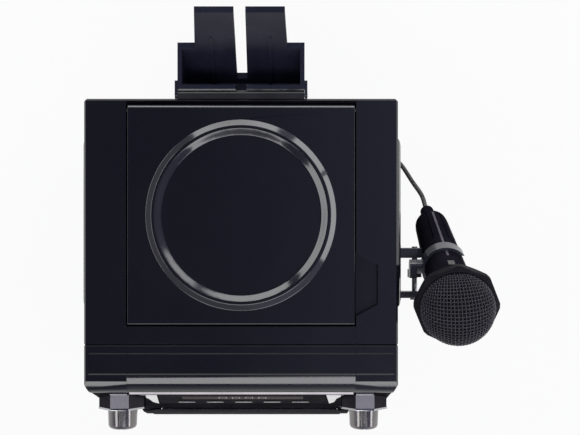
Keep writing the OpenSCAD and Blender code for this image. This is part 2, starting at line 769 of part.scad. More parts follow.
module display_window() {
    color([0.15, 0.05, 0.06]) on_panel() {
        translate([-44, -1.5, -0.5]) cube([88, 18, 1.8]);
        translate([-45.5, -2.8, -1.6]) cube([91, 20.6, 1.6]);
    }
}

module key_cap(i) {
    color(dark_c) on_panel() translate([i * 21, -13.5, 0]) {
        translate([0, 0, -3.4]) linear_extrude(5.3) round_rect(12.8, 5.2, 1.7);
        translate([0, 0, -4.4]) linear_extrude(1) round_rect(14.4, 6.8, 2.2);
        translate([0, 0, -6.8]) cylinder(r = 1.6, h = 2.4);
    }
}

module button_play() { key_cap(0); }
module button_stop() { key_cap(1); }
module button_back() { key_cap(-1); }
module button_next() { key_cap(2); }
module button_lights() { key_cap(-2); }

// Circuit board behind the control face, with the number display on it
module key_board() {
    color(board_c) on_panel() difference() {
        union() {
            translate([-60, -21, -10.6]) cube([120, 40, 1.6]);
            translate([-42, 0, -9.2]) cube([84, 15, 7.6]);
            for (i = [-2:2]) translate([i * 21 - 3, -16.5, -9.2]) cube([6, 6, 1.6]);
            for (sx = [-1, 1], y = [-19, 17])
                translate([sx * 56, y - 1.6, -9.2]) cylinder(r = 2.2, h = 9 - wall);
        }
        for (sx = [-1, 1]) translate([sx * 20, 16, -12]) cylinder(r = 1, h = 5);
    }
}

// Turned knob with grooves and a pointer line
module rotary_knob(sx) {
    color(chrome_c) translate([sx * knob_x, seat_y - 0.4, knob_z]) rotate([90, 0, 0]) difference() {
        rotate_extrude() polygon([
            [0, -15], [1.5, -15], [1.5, 0], [5.5, 0], [5.5, 6], [8.3, 6], [8.3, 0],
            [knob_d / 2, 0],
            [knob_d / 2 - 0.5, knob_len - 2.6], [knob_d / 2 - 1.2, knob_len - 1.1],
            [knob_d / 2 - 2.6, knob_len - 0.2], [knob_d / 2 - 4.4, knob_len],
            [0, knob_len]
        ]);
        translate([-0.6, knob_d / 2 - 6.5, knob_len - 0.6]) cube([1.2, 5, 2]);
    }
}

module knob_left() { rotary_knob(-1); }
module knob_right() { rotary_knob(1); }

// Bright eight-sided rims round the knob seats
module seat_rims() {
    color(chrome_c) for (sx = [-1, 1])
        translate([sx * knob_x, seat_y, knob_z]) rotate([90, 22.5, 0]) difference() {
            cylinder(d = 36, h = 1.4, $fn = 8);
            translate([0, 0, -1]) cylinder(d = 31.5, h = 4, $fn = 8);
        }
}

// Rotary level controls behind the knobs; body and fixed bush, shaft turns with the knob
module level_pots() {
    color(steel_c) for (sx = [-1, 1]) translate([sx * knob_x, seat_y, knob_z])
        rotate([90, 0, 0]) difference() {
            union() {
                translate([0, 0, -22]) cylinder(r = 8.5, h = 9);
                translate([0, 0, -13]) cylinder(r = 3.5, h = 12.6);
                translate([-8.5, -14, -22]) cube([17, 8, 1.6]);
                translate([0, 0, -13]) cylinder(r = 5.6, h = 2);
            }
            translate([0, 0, -16]) cylinder(r = 1.5 + shaft_gap, h = 20);
        }
}

module front_jacks() {
    color(chrome_c) for (sx = [-1, 1]) on_strip(sx * jack_x) difference() {
        union() {
            translate([0, 0, -24]) cylinder(r = 6, h = 24 - wall);
            translate([0, 0, -4]) cylinder(r = 4.2, h = 4.5);
            cylinder(r = 5.4, h = 1.2);
        }
        translate([0, 0, -22]) cylinder(r = 3.2 + shaft_gap, h = 30);
    }
}

module level_lamps() {
    color(chrome_c) on_panel() for (sx = [-1, 1]) translate([sx * (knob_x - 0.9), 21.3, 0]) {
        translate([0, 0, -3.5]) linear_extrude(4) square([9.6, 3.2], center = true);
        linear_extrude(1) difference() {
            square([12.2, 5.4], center = true);
            square([9.6, 3.2], center = true);
        }
    }
}

// Bright corner facets and the thin strip under the bezel
module chrome_trim() {
    color(chrome_c) {
        on_panel() for (sx = [-1, 1]) {
            linear_extrude(1.7) polygon([
                [sx * 60, panel_len / 2 - 1.2], [sx * 72.5, panel_len / 2 - 1.2],
                [sx * 68, 6], [sx * 67, -14], [sx * 63.6, -panel_len / 2 + 2]
            ]);
            translate([sx * 68.5, 14, -4]) cylinder(d = 2.9, h = 4.5);
        }
        side_bar(-79, 79, [
            [bezel_y + 0.66, lip_z + 2.4], [bezel_y - 0.9, lip_z + 2.2],
            [bezel_y - 0.9, lip_z + 1], [bezel_y + 0.04, lip_z + 0.4], [bezel_y + 0.19, lip_z + 1.39]
        ]);
    }
}

// Arc of the bulging grille, from its lower to its upper edge
function bow(out, count, h) = [
    for (i = [0:count])
        let (z = -h / 2 + i * h / count)
        [front_y - (sqrt(bulge_r * bulge_r - z * z) - bulge_r + grille_bulge) * out, grille_mid + z]
];

module grille_plan() {
    translate([0, front_y + 30, grille_mid]) rotate([90, 0, 0]) linear_extrude(80) children();
}

module grille_frame() {
    frame_w = 6;
    color(dark_c) difference() {
        intersection() {
            side_bar(-grille_w / 2, grille_w / 2, concat(
                bow(1, 8, grille_h), [[front_y, grille_top], [front_y, grille_bot]]));
            grille_plan() round_rect(grille_w, grille_h, 14);
        }
        grille_plan() round_rect(grille_w - 2 * frame_w, grille_h - 2 * frame_w, 9);
    }
}

module speaker_grille() {
    inner_w = grille_w - 12.1;
    inner_h = grille_h - 12.1;
    cols = floor((inner_w - 22) / hole_pitch / 2);
    rows = floor((inner_h - 22) / hole_pitch / 2);
    sheet = bow(1, 8, grille_h);
    color([0.25, 0.25, 0.27]) difference() {
        intersection() {
            side_bar(-inner_w / 2, inner_w / 2, concat(
                [for (p = sheet) [p[0] - 0.6, p[1]]],
                [for (i = [8:-1:0]) [sheet[i][0] + 0.8, sheet[i][1]]]
            ));
            grille_plan() round_rect(inner_w, inner_h, 9);
        }
        for (i = [-rows:rows], k = [-cols:cols])
            rod_y_dir((k + (i % 2) / 2) * hole_pitch, front_y - 60, front_y + 20,
                grille_mid + i * hole_pitch, hole_pitch * 0.28);
    }
}

// Loudspeaker, facing forward
module speaker_turn(y) {
    translate([0, y, grille_mid]) rotate([90, 0, 0]) rotate_extrude($fn = 96) children();
}

sp_y = front_y + wall + 3;   // front face of the loudspeaker's rim
sp_r = speaker_d / 2;

module speaker_basket() {
    color(dark_c) difference() {
        speaker_turn(sp_y) polygon([
            [sp_r, 0], [sp_r, -2], [sp_r - 11, -2], [sp_r - 33, -38], [14, -38], [14, -36],
            [sp_r - 34.4, -36], [sp_r - 12.4, 0]
        ]);
        for (a = [45:90:315])
            translate([0, sp_y + 3, grille_mid]) rotate([90, a, 0])
                translate([sp_r - 5, 0, 0]) cylinder(r = 1.6, h = 8);
        for (a = [0:60:300])
            translate([0, sp_y + 17, grille_mid]) rotate([90, a, 0]) translate([sp_r - 26, 0, -14])
                linear_extrude(20) square([16, 14], center = true);
    }
}

module speaker_magnet() {
    color(steel_c) speaker_turn(sp_y) polygon([
        [14, -38], [38, -38], [38, -42], [36, -42], [36, -55], [38, -55], [38, -59],
        [0, -59], [0, -37], [11.4, -37], [11.4, -55], [14, -55]
    ]);
}

// Paper cone, coil former and dust cap
module speaker_cone() {
    color([0.14, 0.14, 0.14]) speaker_turn(sp_y) polygon([
        [sp_r - 17.8, -2.2], [sp_r - 17.8, -3.4], [13.6, -32], [13.6, -46], [12, -46],
        [12, -31], [12.6, -29.6], [9, -24.5], [4, -22.2], [0, -21.6], [0, -20.4], [5, -21],
        [10, -23.4], [16, -28.6]
    ]);
}

// Foam roll between cone and basket
module speaker_surround() {
    color(rubber_c) speaker_turn(sp_y) polygon([
        [sp_r - 12.4, 0], [sp_r - 9.8, 0], [sp_r - 9.8, 0.8], [sp_r - 10.6, 2.6],
        [sp_r - 12.6, 3.6], [sp_r - 14.9, 2.8], [sp_r - 16, 0.4], [sp_r - 17.5, -0.9],
        [sp_r - 17.5, -1.9], [sp_r - 15.4, -1], [sp_r - 14.2, 1.8], [sp_r - 12.6, 2.5],
        [sp_r - 11.2, 1.7]
    ]);
}

module main_board() {
    board_z = foot_h + wall + 8;
    color(board_c) {
        block(-70, 70, -30, 60, board_z, board_z + 1.6);
        for (sx = [-1, 1], y = [-26, 56]) post(sx * 66, y, foot_h + wall, board_z + 0.5, 3);
        block(-50, -10, 20, 50, board_z + 1.5, board_z + 30);
        block(10, 50, 34, 40, board_z + 1.5, board_z + 36);
        for (x = [14:8:46]) block(x - 1, x + 1, 39, 54, board_z + 4, board_z + 34);
        for (x = [-20, 0, 20]) post(x, -10, board_z + 1, board_z + 22, 6);
    }
}

// Hinge bracket on the back wall
module cradle_bracket() {
    color(dark_c) difference() {
        union() {
            rod_x_dir(-cradle_w / 2, cradle_w / 2, pin_y, pin_z, 3);
            block(-cradle_w / 2, cradle_w / 2, back_y, pin_y, pin_z - 3, pin_z + 3);
            block(-cradle_w / 2 + 4, cradle_w / 2 - 4, back_y, pin_y - 0.6, top_z - 18, pin_z);
        }
        rod_x_dir(-cradle_w, cradle_w, pin_y, pin_z, 1.5);
        for (sx = [-1, 1]) rod_y_dir(sx * 30, back_y - 1, back_y + 2.4, top_z - 15.6, 1.3);
    }
}

module cradle_pin() {
    color(steel_c) rod_x_dir(-cradle_w / 2 - 2.2, cradle_w / 2 + 2.2, pin_y, pin_z, 1.5);
}

module tablet_cradle() {
    half = cradle_w / 2;
    tip = prong_up + channel_h;
    color(shell_c) difference() {
        union() {
            // lip, floor and leaning plate
            side_bar(-half, half, [
                [lip_y, channel_z - 3], [plate_y + plate_deep - 2.4, channel_z - 3],
                [plate_y + plate_deep + cradle_run * channel_h, top_z],
                [plate_y + cradle_run * channel_h, top_z], [plate_y, channel_z],
                [lip_y + 3.1, channel_z], [lip_y + 3.1, top_z - 0.6],
                [lip_y + 2.5, top_z], [lip_y, top_z]
            ]);
            // prongs
            intersection() {
                side_bar(-half, half, [
                    [plate_y + plate_deep - 2.4, channel_z - 3],
                    [plate_y + plate_deep + cradle_run * tip, top_z + prong_up],
                    [plate_y + cradle_run * tip, top_z + prong_up], [plate_y, channel_z]
                ]);
                translate([0, back_y + 120, 0]) rotate([90, 0, 0]) linear_extrude(130) polygon([
                    [-shoulder_x, channel_z - 3], [-shoulder_x, top_z], [-shoulder_x + 1.7, top_z + prong_up],
                    [shoulder_x - 1.7, top_z + prong_up], [shoulder_x, top_z], [shoulder_x, channel_z - 3]
                ]);
            }
            // side walls of the channel
            for (sx = [-1, 1]) side_bar(sx * (half - 1.5) - 1.5, sx * (half - 1.5) + 1.5, [
                [lip_y, channel_z - 3], [plate_y + 1, channel_z - 3],
                [plate_y + 1 + cradle_run * channel_h, top_z], [lip_y, top_z]
            ]);
            // hinge ears
            for (sx = [-1, 1]) {
                rod_x_dir(sx * (half + 1.1) - 0.9, sx * (half + 1.1) + 0.9, pin_y, pin_z, 2.8);
                side_bar(sx * (half + 1.1) - 0.9, sx * (half + 1.1) + 0.9, [
                    [pin_y, pin_z - 2.8], [lip_y + 6, pin_z - 6], [lip_y + 6, pin_z + 2.8],
                    [pin_y, pin_z + 2.8]
                ]);
                block(sx * (half - 0.5) - 1.2, sx * (half - 0.5) + 1.2, lip_y, lip_y + 6,
                    pin_z - 6, pin_z + 2.8);
                // stiffening ribs on the plate
                side_bar(sx * 20.5 - 1, sx * 20.5 + 1, [
                    [plate_y - 1, channel_z], [plate_y + 1, channel_z],
                    [plate_y + 1 + cradle_run * 36, channel_z + 36],
                    [plate_y - 1 + cradle_run * 36, channel_z + 36]
                ]);
            }
        }
        // slot between the prongs
        translate([0, back_y + 120, 0]) rotate([90, 0, 0]) linear_extrude(130) polygon([
            [-3.6, channel_z + 4], [3.6, channel_z + 4], [4, top_z + prong_up + 1],
            [-4, top_z + prong_up + 1]
        ]);
        rod_x_dir(-cradle_w, cradle_w, pin_y, pin_z, 1.5 + shaft_gap);
    }
}

module holder_base() {
    x0 = side_x + trim_t;
    color(dark_c) difference() {
        union() {
            block(x0, x0 + 3, holder_y - 31, holder_y + 10, holder_z - 14, holder_z + 14);
            for (y = [[holder_y - 30, holder_y - 25], [holder_y, holder_y + 7.5]]) {
                rod_y_dir(holder_x, y[0], y[1], holder_z, 5.3);
                block(x0 + 2, holder_x, y[0], y[1], holder_z - 5.3, holder_z + 5.3);
            }
        }
        rod_y_dir(holder_x, holder_y - 32, holder_y + 12, holder_z, 2 + seat_gap);
    }
}

module holder_pin() {
    color(steel_c) {
        rod_y_dir(holder_x, holder_y - 31.4, holder_y + 8.5, holder_z, 2);
        rod_y_dir(holder_x, holder_y - 31.4, holder_y - 30, holder_z, 3.4);
    }
}

// Swinging arm: knuckle on the pin, tab with the stub that carries the clip
module holder_arm() {
    color(dark_c) difference() {
        union() {
            rod_y_dir(holder_x, holder_y - 14.5, holder_y - 8.5, holder_z, 5.3);
            block(holder_x - 5, holder_x, holder_y - 14.5, holder_y - 8.5, holder_z, mic_z);
            block(holder_x - 5, holder_x, holder_y - 14.5, mic_y, holder_z + 6.2, mic_z + 5.2);
            rod_x_dir(holder_x - 5, holder_x, mic_y, mic_z, 5.2);
            rod_x_dir(holder_x - 1, holder_x + 4, mic_y, mic_z, 2.5);
        }
        rod_y_dir(holder_x, holder_y - 20, holder_y - 5, holder_z, 2 + shaft_gap);
    }
}

// Spring clip, open toward the outside
module mic_clip() {
    color(rubber_c) difference() {
        union() {
            on_mic() translate([0, 0, -clip_h / 2])
                cylinder(r1 = grip_d / 2 + clip_t - taper * clip_h / 2,
                    r2 = grip_d / 2 + clip_t + taper * clip_h / 2, h = clip_h);
            rod_x_dir(holder_x + 0.2, mic_x - grip_d / 2 + 1, mic_y, mic_z, 5.2);
        }
        on_mic() translate([0, 0, -clip_h])
            cylinder(r1 = grip_d / 2 + 0.09 - taper * clip_h,
                r2 = grip_d / 2 + 0.09 + taper * clip_h, h = 2 * clip_h);
        on_mic() translate([grip_d / 2 * 0.5, -11, -clip_h]) cube([grip_d, 22, 2 * clip_h]);
        rod_x_dir(holder_x - 1, holder_x + 4.05, mic_y, mic_z, 2.5 + shaft_gap);
    }
}

module mic_handle() {
    r_tail = grip_d / 2 + taper * shoulder_l;
    color(shell_c) on_mic() difference() {
        rotate_extrude() polygon([
            [0, tail_l], [3.2, tail_l], [4.8, tail_l + 0.9], [5.5, tail_l + 2.6],
            [6.4, shoulder_l], [r_tail - 3.4, shoulder_l + 0.6], [r_tail - 1.2, shoulder_l + 2],
            [r_tail - 0.2, shoulder_l + 4.2], [r_tail + taper * 9, shoulder_l + 9],
            [grip_d / 2 + taper * (neck_l - 18), neck_l - 18],
            [grip_d / 2 + 1.6, neck_l - 6], [grip_d / 2 + 4.4, neck_l + 6],
            [grip_d / 2 + 8.6, neck_l + 16], [grip_d / 2 + 10, neck_l + 20],
            [grip_d / 2 + 10, neck_l + 24], [0, neck_l + 24]
        ]);
        // hollow inside
        rotate_extrude() polygon([
            [0, shoulder_l + 8], [9.4, shoulder_l + 8], [grip_d / 2 - 2.6, neck_l - 18],
            [grip_d / 2 + 6, neck_l + 18], [grip_d / 2 + 6, neck_l + 30], [0, neck_l + 30]
        ]);
        // slot of the switch and two long grooves
        translate([-2.5, 5, 24]) cube([5, 20, 12]);
        for (sx = [-1, 1]) rotate([0, 0, sx * 24])
            translate([-0.5, grip_d / 2 - 2.8, shoulder_l + 6])
                cube([1, 6, -shoulder_l - 30]);
        translate([0, 0, tail_l - 1]) cylinder(r = cord_d / 2 + 0.02, h = 8);
    }
}

module mic_ring() {
    color(rubber_c) on_mic() translate([0, 0, ring_l - 4]) difference() {
        intersection() {
            cylinder(d = ring_w / cos(22.5), h = 9, $fn = 8);
            rotate_extrude() polygon([
                [0, 0], [ring_w / 2 - 1.5, 0], [ring_w / 2 + 1.6, 2.6], [ring_w / 2 + 1.6, 6.4],
                [ring_w / 2 - 1.5, 9], [0, 9]
            ]);
        }
        translate([0, 0, -1]) cylinder(r = grip_d / 2 + 10 + seat_gap, h = 12);
    }
}

module mic_grille() {
    color([0.2, 0.2, 0.22]) on_mic() translate([0, 0, ring_l + 2]) rotate_extrude() difference() {
        union() {
            intersection() {
                translate([0, 4]) circle(d = head_d);
                translate([0, 3.2]) square([head_d, head_d]);
            }
            translate([grip_d / 2 + 6.2, 0]) square([head_d / 2 - grip_d / 2 - 7.3, 4]);
        }
        translate([0, 4]) intersection() {
            circle(d = head_d - 2.4);
            translate([-head_d, 0]) square([2 * head_d, head_d]);
        }
        translate([-head_d, -head_d]) square([head_d, 3 * head_d]);
        translate([0, -1]) square([grip_d / 2 + 6.2, 6]);
    }
}

module mic_capsule() {
    color(steel_c) on_mic() {
        translate([0, 0, ring_l - 4]) cylinder(r = grip_d / 2 + 6, h = 6);
        translate([0, 0, ring_l + 2]) cylinder(r = 12, h = 12);
        translate([0, 0, ring_l - 16]) cylinder(r = 9, h = 12);
    }
}

module mic_switch() {
    color(chrome_c) on_mic() {
        translate([-2.4, 8, 28.6]) cube([4.8, 9, 7.2]);
        translate([-4, 8, 27]) cube([8, 2.4, 10]);
    }
}

// Cord: hand-chosen points on a smooth run, the tail of the microphone first
function mic_point(l) = [mic_x, mic_y - l * sin(mic_lean), mic_z + l * cos(mic_lean)];

tail = mic_point(tail_l);
coil_r = 26.7;         // outermost loop, middle of the cord
coil_x = 20;
coil_y = back_y + 32.5;
coil_z = cord_d * 0.4; // lowest loops stand on a flat
layers = 4;
layer_turns = 2.25;
climb_turns = 0.5;
loop_pitch = cord_d + 1.2;
layer_pitch = cord_d + 0.6;
coil_turns = layers * layer_turns + (layers - 1) * climb_turns;
coil_rings = 24;       // rings in each loop

drop_points = [
    mic_point(tail_l + 6), tail, mic_point(tail_l - 9),
    [tail[0] - 1, tail[1] + 13.5, tail[2] * 0.8], [tail[0] - 6, tail[1] + 25.5, tail[2] * 0.62],
    [tail[0] - 13, tail[1] + 41, tail[2] * 0.44], [tail[0] - 20, tail[1] + 52, tail[2] * 0.26],
    [tail[0] - 25, tail[1] + 61, tail[2] * 0.11], [side_x + 11, back_y - 8, 3.8],
    [side_x + 8.5, back_y, 2], [side_x + 3, back_y + 7.5, 2], [side_x - 6, back_y + 13, 2],
    [side_x - 18, back_y + 15, 2], [side_x - 34, back_y + 14, 2],
    [side_x - 52, back_y + 10.5, 2], [coil_x + 22, coil_y - coil_r + 1.3, 1.9],
    [coil_x + 12, coil_y - coil_r, coil_z], [coil_x + 4, coil_y - coil_r, coil_z]
];

coil_top = coil_z + (layers - 1) * layer_pitch;
lead_points = [
    [coil_x + 4, coil_y + coil_r, coil_top], [coil_x + 11, coil_y + coil_r, coil_top],
    [coil_x + 20, coil_y + coil_r - 2, coil_top + 5], [coil_x + 24, coil_y + coil_r - 5, coil_top + 18],
    [coil_x + 21, coil_y + coil_r - 6, coil_top + 35], [coil_x + 13, coil_y + coil_r - 8, jack_z - 6],
    [mic_jack_x + 1, back_y + 48, jack_z], [mic_jack_x, back_y + 40, jack_z],
    [mic_jack_x, back_y + 34, jack_z]
];

function smooth_step(f) = f * f * (3 - 2 * f);

function spline_at(q, i, t) =
    let (n = len(q) - 1, a = q[max(i - 1, 0)], b = q[i], c = q[min(i + 1, n)], d = q[min(i + 2, n)])
    0.5 * (2 * b + (c - a) * t + (2 * a - 5 * b + 4 * c - d) * t * t
        + (3 * b - a - 3 * c + d) * t * t * t);

function run_of(q, step) = concat(
    [for (i = [0:len(q) - 2])
        let (count = max(1, round(norm(q[i + 1] - q[i]) / step)))
        for (k = [0:count - 1]) spline_at(q, i, k / count)],
    [q[len(q) - 1]]);

function coil_at(u) =
    let (k = min(floor(u / (layer_turns + climb_turns)), layers - 1),
        v = u - k * (layer_turns + climb_turns),
        w = min(v, layer_turns),
        inner = coil_r - loop_pitch * layer_turns,
        r = k % 2 == 0 ? coil_r - loop_pitch * w : inner + loop_pitch * w,
        up = smooth_step(max(0, v - layer_turns) / climb_turns),
        a = -90 - 360 * u)
    [coil_x + r * cos(a), coil_y + r * sin(a), coil_z + (k + up) * layer_pitch];

coil_run = concat(
    [[coil_x + 4, coil_y - coil_r, coil_z]],
    [for (i = [0:coil_turns * coil_rings]) coil_at(i / coil_rings)],
    [[coil_x + 4, coil_y + coil_r, coil_top]]);

function run_length(q) = let (d = [for (i = [1:len(q) - 1]) norm(q[i] - q[i - 1])])
    d * [for (x = d) 1];

coil_gap = min([for (i = [0:len(coil_run) - 14], j = [i + 13:len(coil_run) - 1])
    norm(coil_run[i] - coil_run[j])]) - cord_d;
echo(cord_length = run_length(run_of(drop_points, cord_d * 2)) + run_length(coil_run)
    + run_length(run_of(lead_points, cord_d * 2)), coil_gap = coil_gap);

function unit(v) = v / norm(v);

function heading(q, i) = unit(q[min(i + 1, len(q) - 1)] - q[max(i - 1, 0)]);

// Sideways direction of every ring, carried along the run without twist
function sideways(q) = [
    for (i = 0, s = unit(cross(heading(q, 0), [0.3, 0.2, 1])); i < len(q);
        i = i + 1, s = i < len(q) ? unit(s - (s * heading(q, i)) * heading(q, i)) : s) s
];

// Round tube along a run of points; nothing of it reaches below the ground
module tube(q, r, sides) {
    side = sideways(q);
    n = len(q);
    rings = [for (i = [0:n - 1], k = [0:sides - 1])
        let (other = cross(heading(q, i), side[i]), a = 360 * k / sides,
            at = q[i] + r * (cos(a) * side[i] + sin(a) * other))
        [at[0], at[1], max(at[2], 0)]];
    polyhedron(rings, concat(
        [[for (k = [0:sides - 1]) k]],
        [[for (k = [sides - 1:-1:0]) (n - 1) * sides + k]],
        [for (i = [0:n - 2], k = [0:sides - 1])
            let (a = i * sides + k, b = i * sides + (k + 1) % sides)
            each [[a, a + sides, b], [b, a + sides, b + sides]]]
    ));
}

module mic_cord() {
    color(rubber_c) tube(run_of(drop_points, cord_d * 2.2), cord_d / 2, 10);
}

module cord_coil() {
    color(rubber_c) tube(coil_run, cord_d / 2, 6);
}

module cord_lead() {
    color(rubber_c) tube(run_of(lead_points, cord_d * 2.2), cord_d / 2, 10);
}

module mic_plug() {
    color(steel_c) translate([mic_jack_x, back_y + 0.5, jack_z]) rotate([-90, 0, 0]) {
        translate([0, 0, -26]) cylinder(r = 3.2, h = 27);
        cylinder(r = 6.4, h = 26);
        difference() {
            translate([0, 0, 26]) cylinder(r1 = 5.4, r2 = 3.4, h = 12);
            translate([0, 0, 33.5]) cylinder(r = cord_d / 2, h = 9);
        }
    }
}

placed() rear_cabinet();
placed() front_cabinet();
placed() base_plate();
placed() rubber_feet();
placed() case_screws();
placed() side_trims();
placed() jack_panel();
placed() rca_jacks();
placed() mic_jack();
placed() power_inlet();
placed() power_switch();
placed() disc_tray();
placed() disc_lid();
placed() lid_pins();
placed() spindle_hub();
placed() spindle_motor();
placed() deck_plate();
placed() damper_grommets();
placed() optical_pickup();
placed() pickup_lens();
placed() guide_rods();
placed() sled_gear();
placed() control_panel();
placed() display_window();
placed() button_play();
placed() button_stop();
placed() button_back();
placed() button_next();
placed() button_lights();
placed() key_board();
placed() knob_left();
placed() knob_right();
placed() seat_rims();
placed() level_pots();
placed() front_jacks();
placed() level_lamps();
placed() chrome_trim();
placed() grille_frame();
placed() speaker_grille();
placed() speaker_basket();
placed() speaker_magnet();
placed() speaker_cone();
placed() speaker_surround();
placed() main_board();
placed() cradle_bracket();
placed() cradle_pin();
placed() tablet_cradle();
placed() holder_base();
placed() holder_pin();
placed() holder_arm();
placed() mic_clip();
placed() mic_handle();
placed() mic_ring();
placed() mic_grille();
placed() mic_capsule();
placed() mic_switch();
placed() mic_cord();
placed() cord_coil();
placed() cord_lead();
placed() mic_plug();
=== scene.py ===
"""Looks of the karaoke machine with disc tray: finishes, grilles, microphone, cord and studio.

Lengths are in metres. Places are given from the middle of the cabinet on the ground: x to the
right, y to the back, z up; at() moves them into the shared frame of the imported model.
"""

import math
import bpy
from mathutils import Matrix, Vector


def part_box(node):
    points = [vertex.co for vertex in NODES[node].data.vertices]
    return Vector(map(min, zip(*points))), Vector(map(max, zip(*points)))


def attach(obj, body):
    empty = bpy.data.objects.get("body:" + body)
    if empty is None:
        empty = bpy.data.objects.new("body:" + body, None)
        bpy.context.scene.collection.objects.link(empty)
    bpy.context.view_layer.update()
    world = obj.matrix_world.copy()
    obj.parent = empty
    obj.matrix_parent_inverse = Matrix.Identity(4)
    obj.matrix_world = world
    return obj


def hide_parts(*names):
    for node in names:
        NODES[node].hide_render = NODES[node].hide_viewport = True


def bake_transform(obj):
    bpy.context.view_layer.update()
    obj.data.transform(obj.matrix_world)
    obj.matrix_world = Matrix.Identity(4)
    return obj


bl_info = {
    "name": "Karaoke Machine Looks",
    "version": (1, 0, 0),
    "blender": (4, 5, 0),
    "location": "3D View > Sidebar > Karaoke",
    "description": "Finishes, grilles, microphone, cord and studio for the karaoke machine",
    "category": "Object",
}

import bmesh
import bpy
from mathutils import Matrix, Vector

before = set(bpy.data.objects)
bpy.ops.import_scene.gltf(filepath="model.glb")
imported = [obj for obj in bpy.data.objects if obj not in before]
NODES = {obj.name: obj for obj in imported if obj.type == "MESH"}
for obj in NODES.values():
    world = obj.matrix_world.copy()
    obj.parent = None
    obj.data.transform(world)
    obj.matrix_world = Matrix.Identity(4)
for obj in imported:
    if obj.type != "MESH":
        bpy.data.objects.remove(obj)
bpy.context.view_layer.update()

# The cabinet, measured on its rear half
SHELL_LOW, SHELL_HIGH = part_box("rear_cabinet")
HALF_DEPTH = 0.1035
MIDDLE = Vector(((SHELL_LOW.x + SHELL_HIGH.x) / 2, SHELL_HIGH.y - HALF_DEPTH, 0))
TOP_Z = SHELL_HIGH.z
SIDE_X = 0.110
FRONT_Y = -0.1239  # plane round the grille
BEZEL_Y = -0.1035  # foremost line of the top's rounded lip
LIP_Z = 0.292  # where the lip ends and the sloping front begins
TRIM_OUT = 0.0012  # how far the plated strip under the lip stands out

# Microphone: its axis passes through the clip and leans back at the tail
CLIP_PLACE = (0.149, -0.016, 0.251)
MIC_LEAN = 20.8  # degrees
SHOULDER_L = -0.0887  # where the handle narrows to the cord's sleeve
HIGHLIGHT_STRIPE_END = 0.015
RING_L = 0.0663
GRIP_R = 0.0150  # radius of the handle in the clip
TAPER = 0.0225  # growth of that radius along the handle
HEAD_R = 0.026
HEAD_L = RING_L + 0.006  # middle of the round head
FOAM_R = 0.0242
HIGHLIGHT_STRIPE_W = 0.0016

# Sloping control face: middle and lean
PANEL_PLACE = (0, -0.1107, 0.267)
PANEL_LEAN = 16.07  # degrees
KEY_STEP = 0.021
KEY_Y = -0.0135
KEY_FACE = 0.0018
WINDOW_Y = 0.0075
WINDOW_FACE = 0.0012
DIGIT_STEP = 0.0095
KNOB_X = 0.0883
KNOB_Z = 0.262
KNOB_TOP = 0.0161  # bottom of the pointer's groove, out from the seat
SEAT_Y = -0.1173  # front of the eight-sided knob seats
SEAT_RADII = (0.0155, 0.0185)  # the seats' outer faces lie between these

# Grille: middle height, size between its frame and the radius of its bow
GRILLE_Z = 0.140
GRILLE_W = 0.1479
GRILLE_H = 0.1639
GRILLE_BULGE = 0.017
GRILLE_BOW = 0.23626
GRILLE_CORNER = 0.009
SHEET_BACK = 0.0006  # the sheet's outer face stands this far in front of the edge plane
SHEET_T = 0.0008
SHEET_RIM = 0.0012  # plain border outside the holes

JACK_X = -0.052  # first of the three sockets in the back panel
JACK_STEP = 0.014
JACK_Z = 0.070

LAMP_DISTANCE = 1.6
CAMERA_X = 0.0343
CAMERA_Y = 0.0203
PICTURE_W = 580  # pixels
FOCAL_LENGTH = 1143  # pixels


def at(x, y, z):
    """A place given from the middle of the cabinet, in the shared frame."""
    return MIDDLE + Vector((x, y, z))


def turned(degrees, axis="X"):
    """Matrix of a turn about an axis."""
    return Matrix.Rotation(math.radians(degrees), 4, axis)


def mic_frame():
    """Matrix of the microphone: z from tail to head, origin at the clip."""
    return Matrix.Translation(at(*CLIP_PLACE)) @ turned(MIC_LEAN)


def panel_frame():
    """Matrix of the control face: x right, y up the slope, z outward."""
    return Matrix.Translation(at(*PANEL_PLACE)) @ turned(90 - PANEL_LEAN)


# Sizes and colours a user may change


def length_setting(name, description, least, most, default):
    return bpy.props.FloatProperty(
        name=name, description=description, subtype="DISTANCE", unit="LENGTH",
        min=least, max=most, default=default,
    )


def number_setting(name, description, least, most, default):
    return bpy.props.FloatProperty(
        name=name, description=description, min=least, max=most, default=default,
    )


def colour_setting(description, default):
    return bpy.props.FloatVectorProperty(
        name="Colour", description=description, subtype="COLOR", size=3, min=0, max=1, default=default,
    )


class ShellLooks(bpy.types.PropertyGroup):
    colour: colour_setting("Base colour of the gloss mouldings", (0.0042, 0.0040, 0.0078))
    roughness: number_setting("Roughness", "Roughness of the polished faces", 0.02, 0.6, 0.10)
    edge: length_setting(
        "Edge radius", "Rounding along the edges of the mouldings", 0.0001, 0.002, 0.0006,
    )


class PlasticLooks(bpy.types.PropertyGroup):
    colour: colour_setting("Base colour of the textured black plastic", (0.012, 0.012, 0.014))
    grain: length_setting("Grain", "Depth of the moulded texture", 0, 0.0003, 0.00004)


class GrilleLooks(bpy.types.PropertyGroup):
    hole_pitch: length_setting(
        "Hole pitch", "Spacing of the round holes in the grille sheet", 0.002, 0.01, 0.0034,
    )
    hole_d: length_setting(
        "Hole diameter", "Diameter of the round holes in the grille sheet", 0.001, 0.008, 0.0021,
    )
    wire_pitch: length_setting(
        "Wire pitch", "Spacing of the wires woven over the microphone head", 0.001, 0.005, 0.0026,
    )
    wire_d: length_setting(
        "Wire diameter", "Thickness of the wires on the microphone head", 0.0002, 0.002, 0.0008,
    )


class CordLooks(bpy.types.PropertyGroup):
    diameter: length_setting("Diameter", "Thickness of the microphone cord", 0.002, 0.006, 0.004)
    colour: colour_setting("Base colour of the cord's jacket", (0.010, 0.010, 0.011))


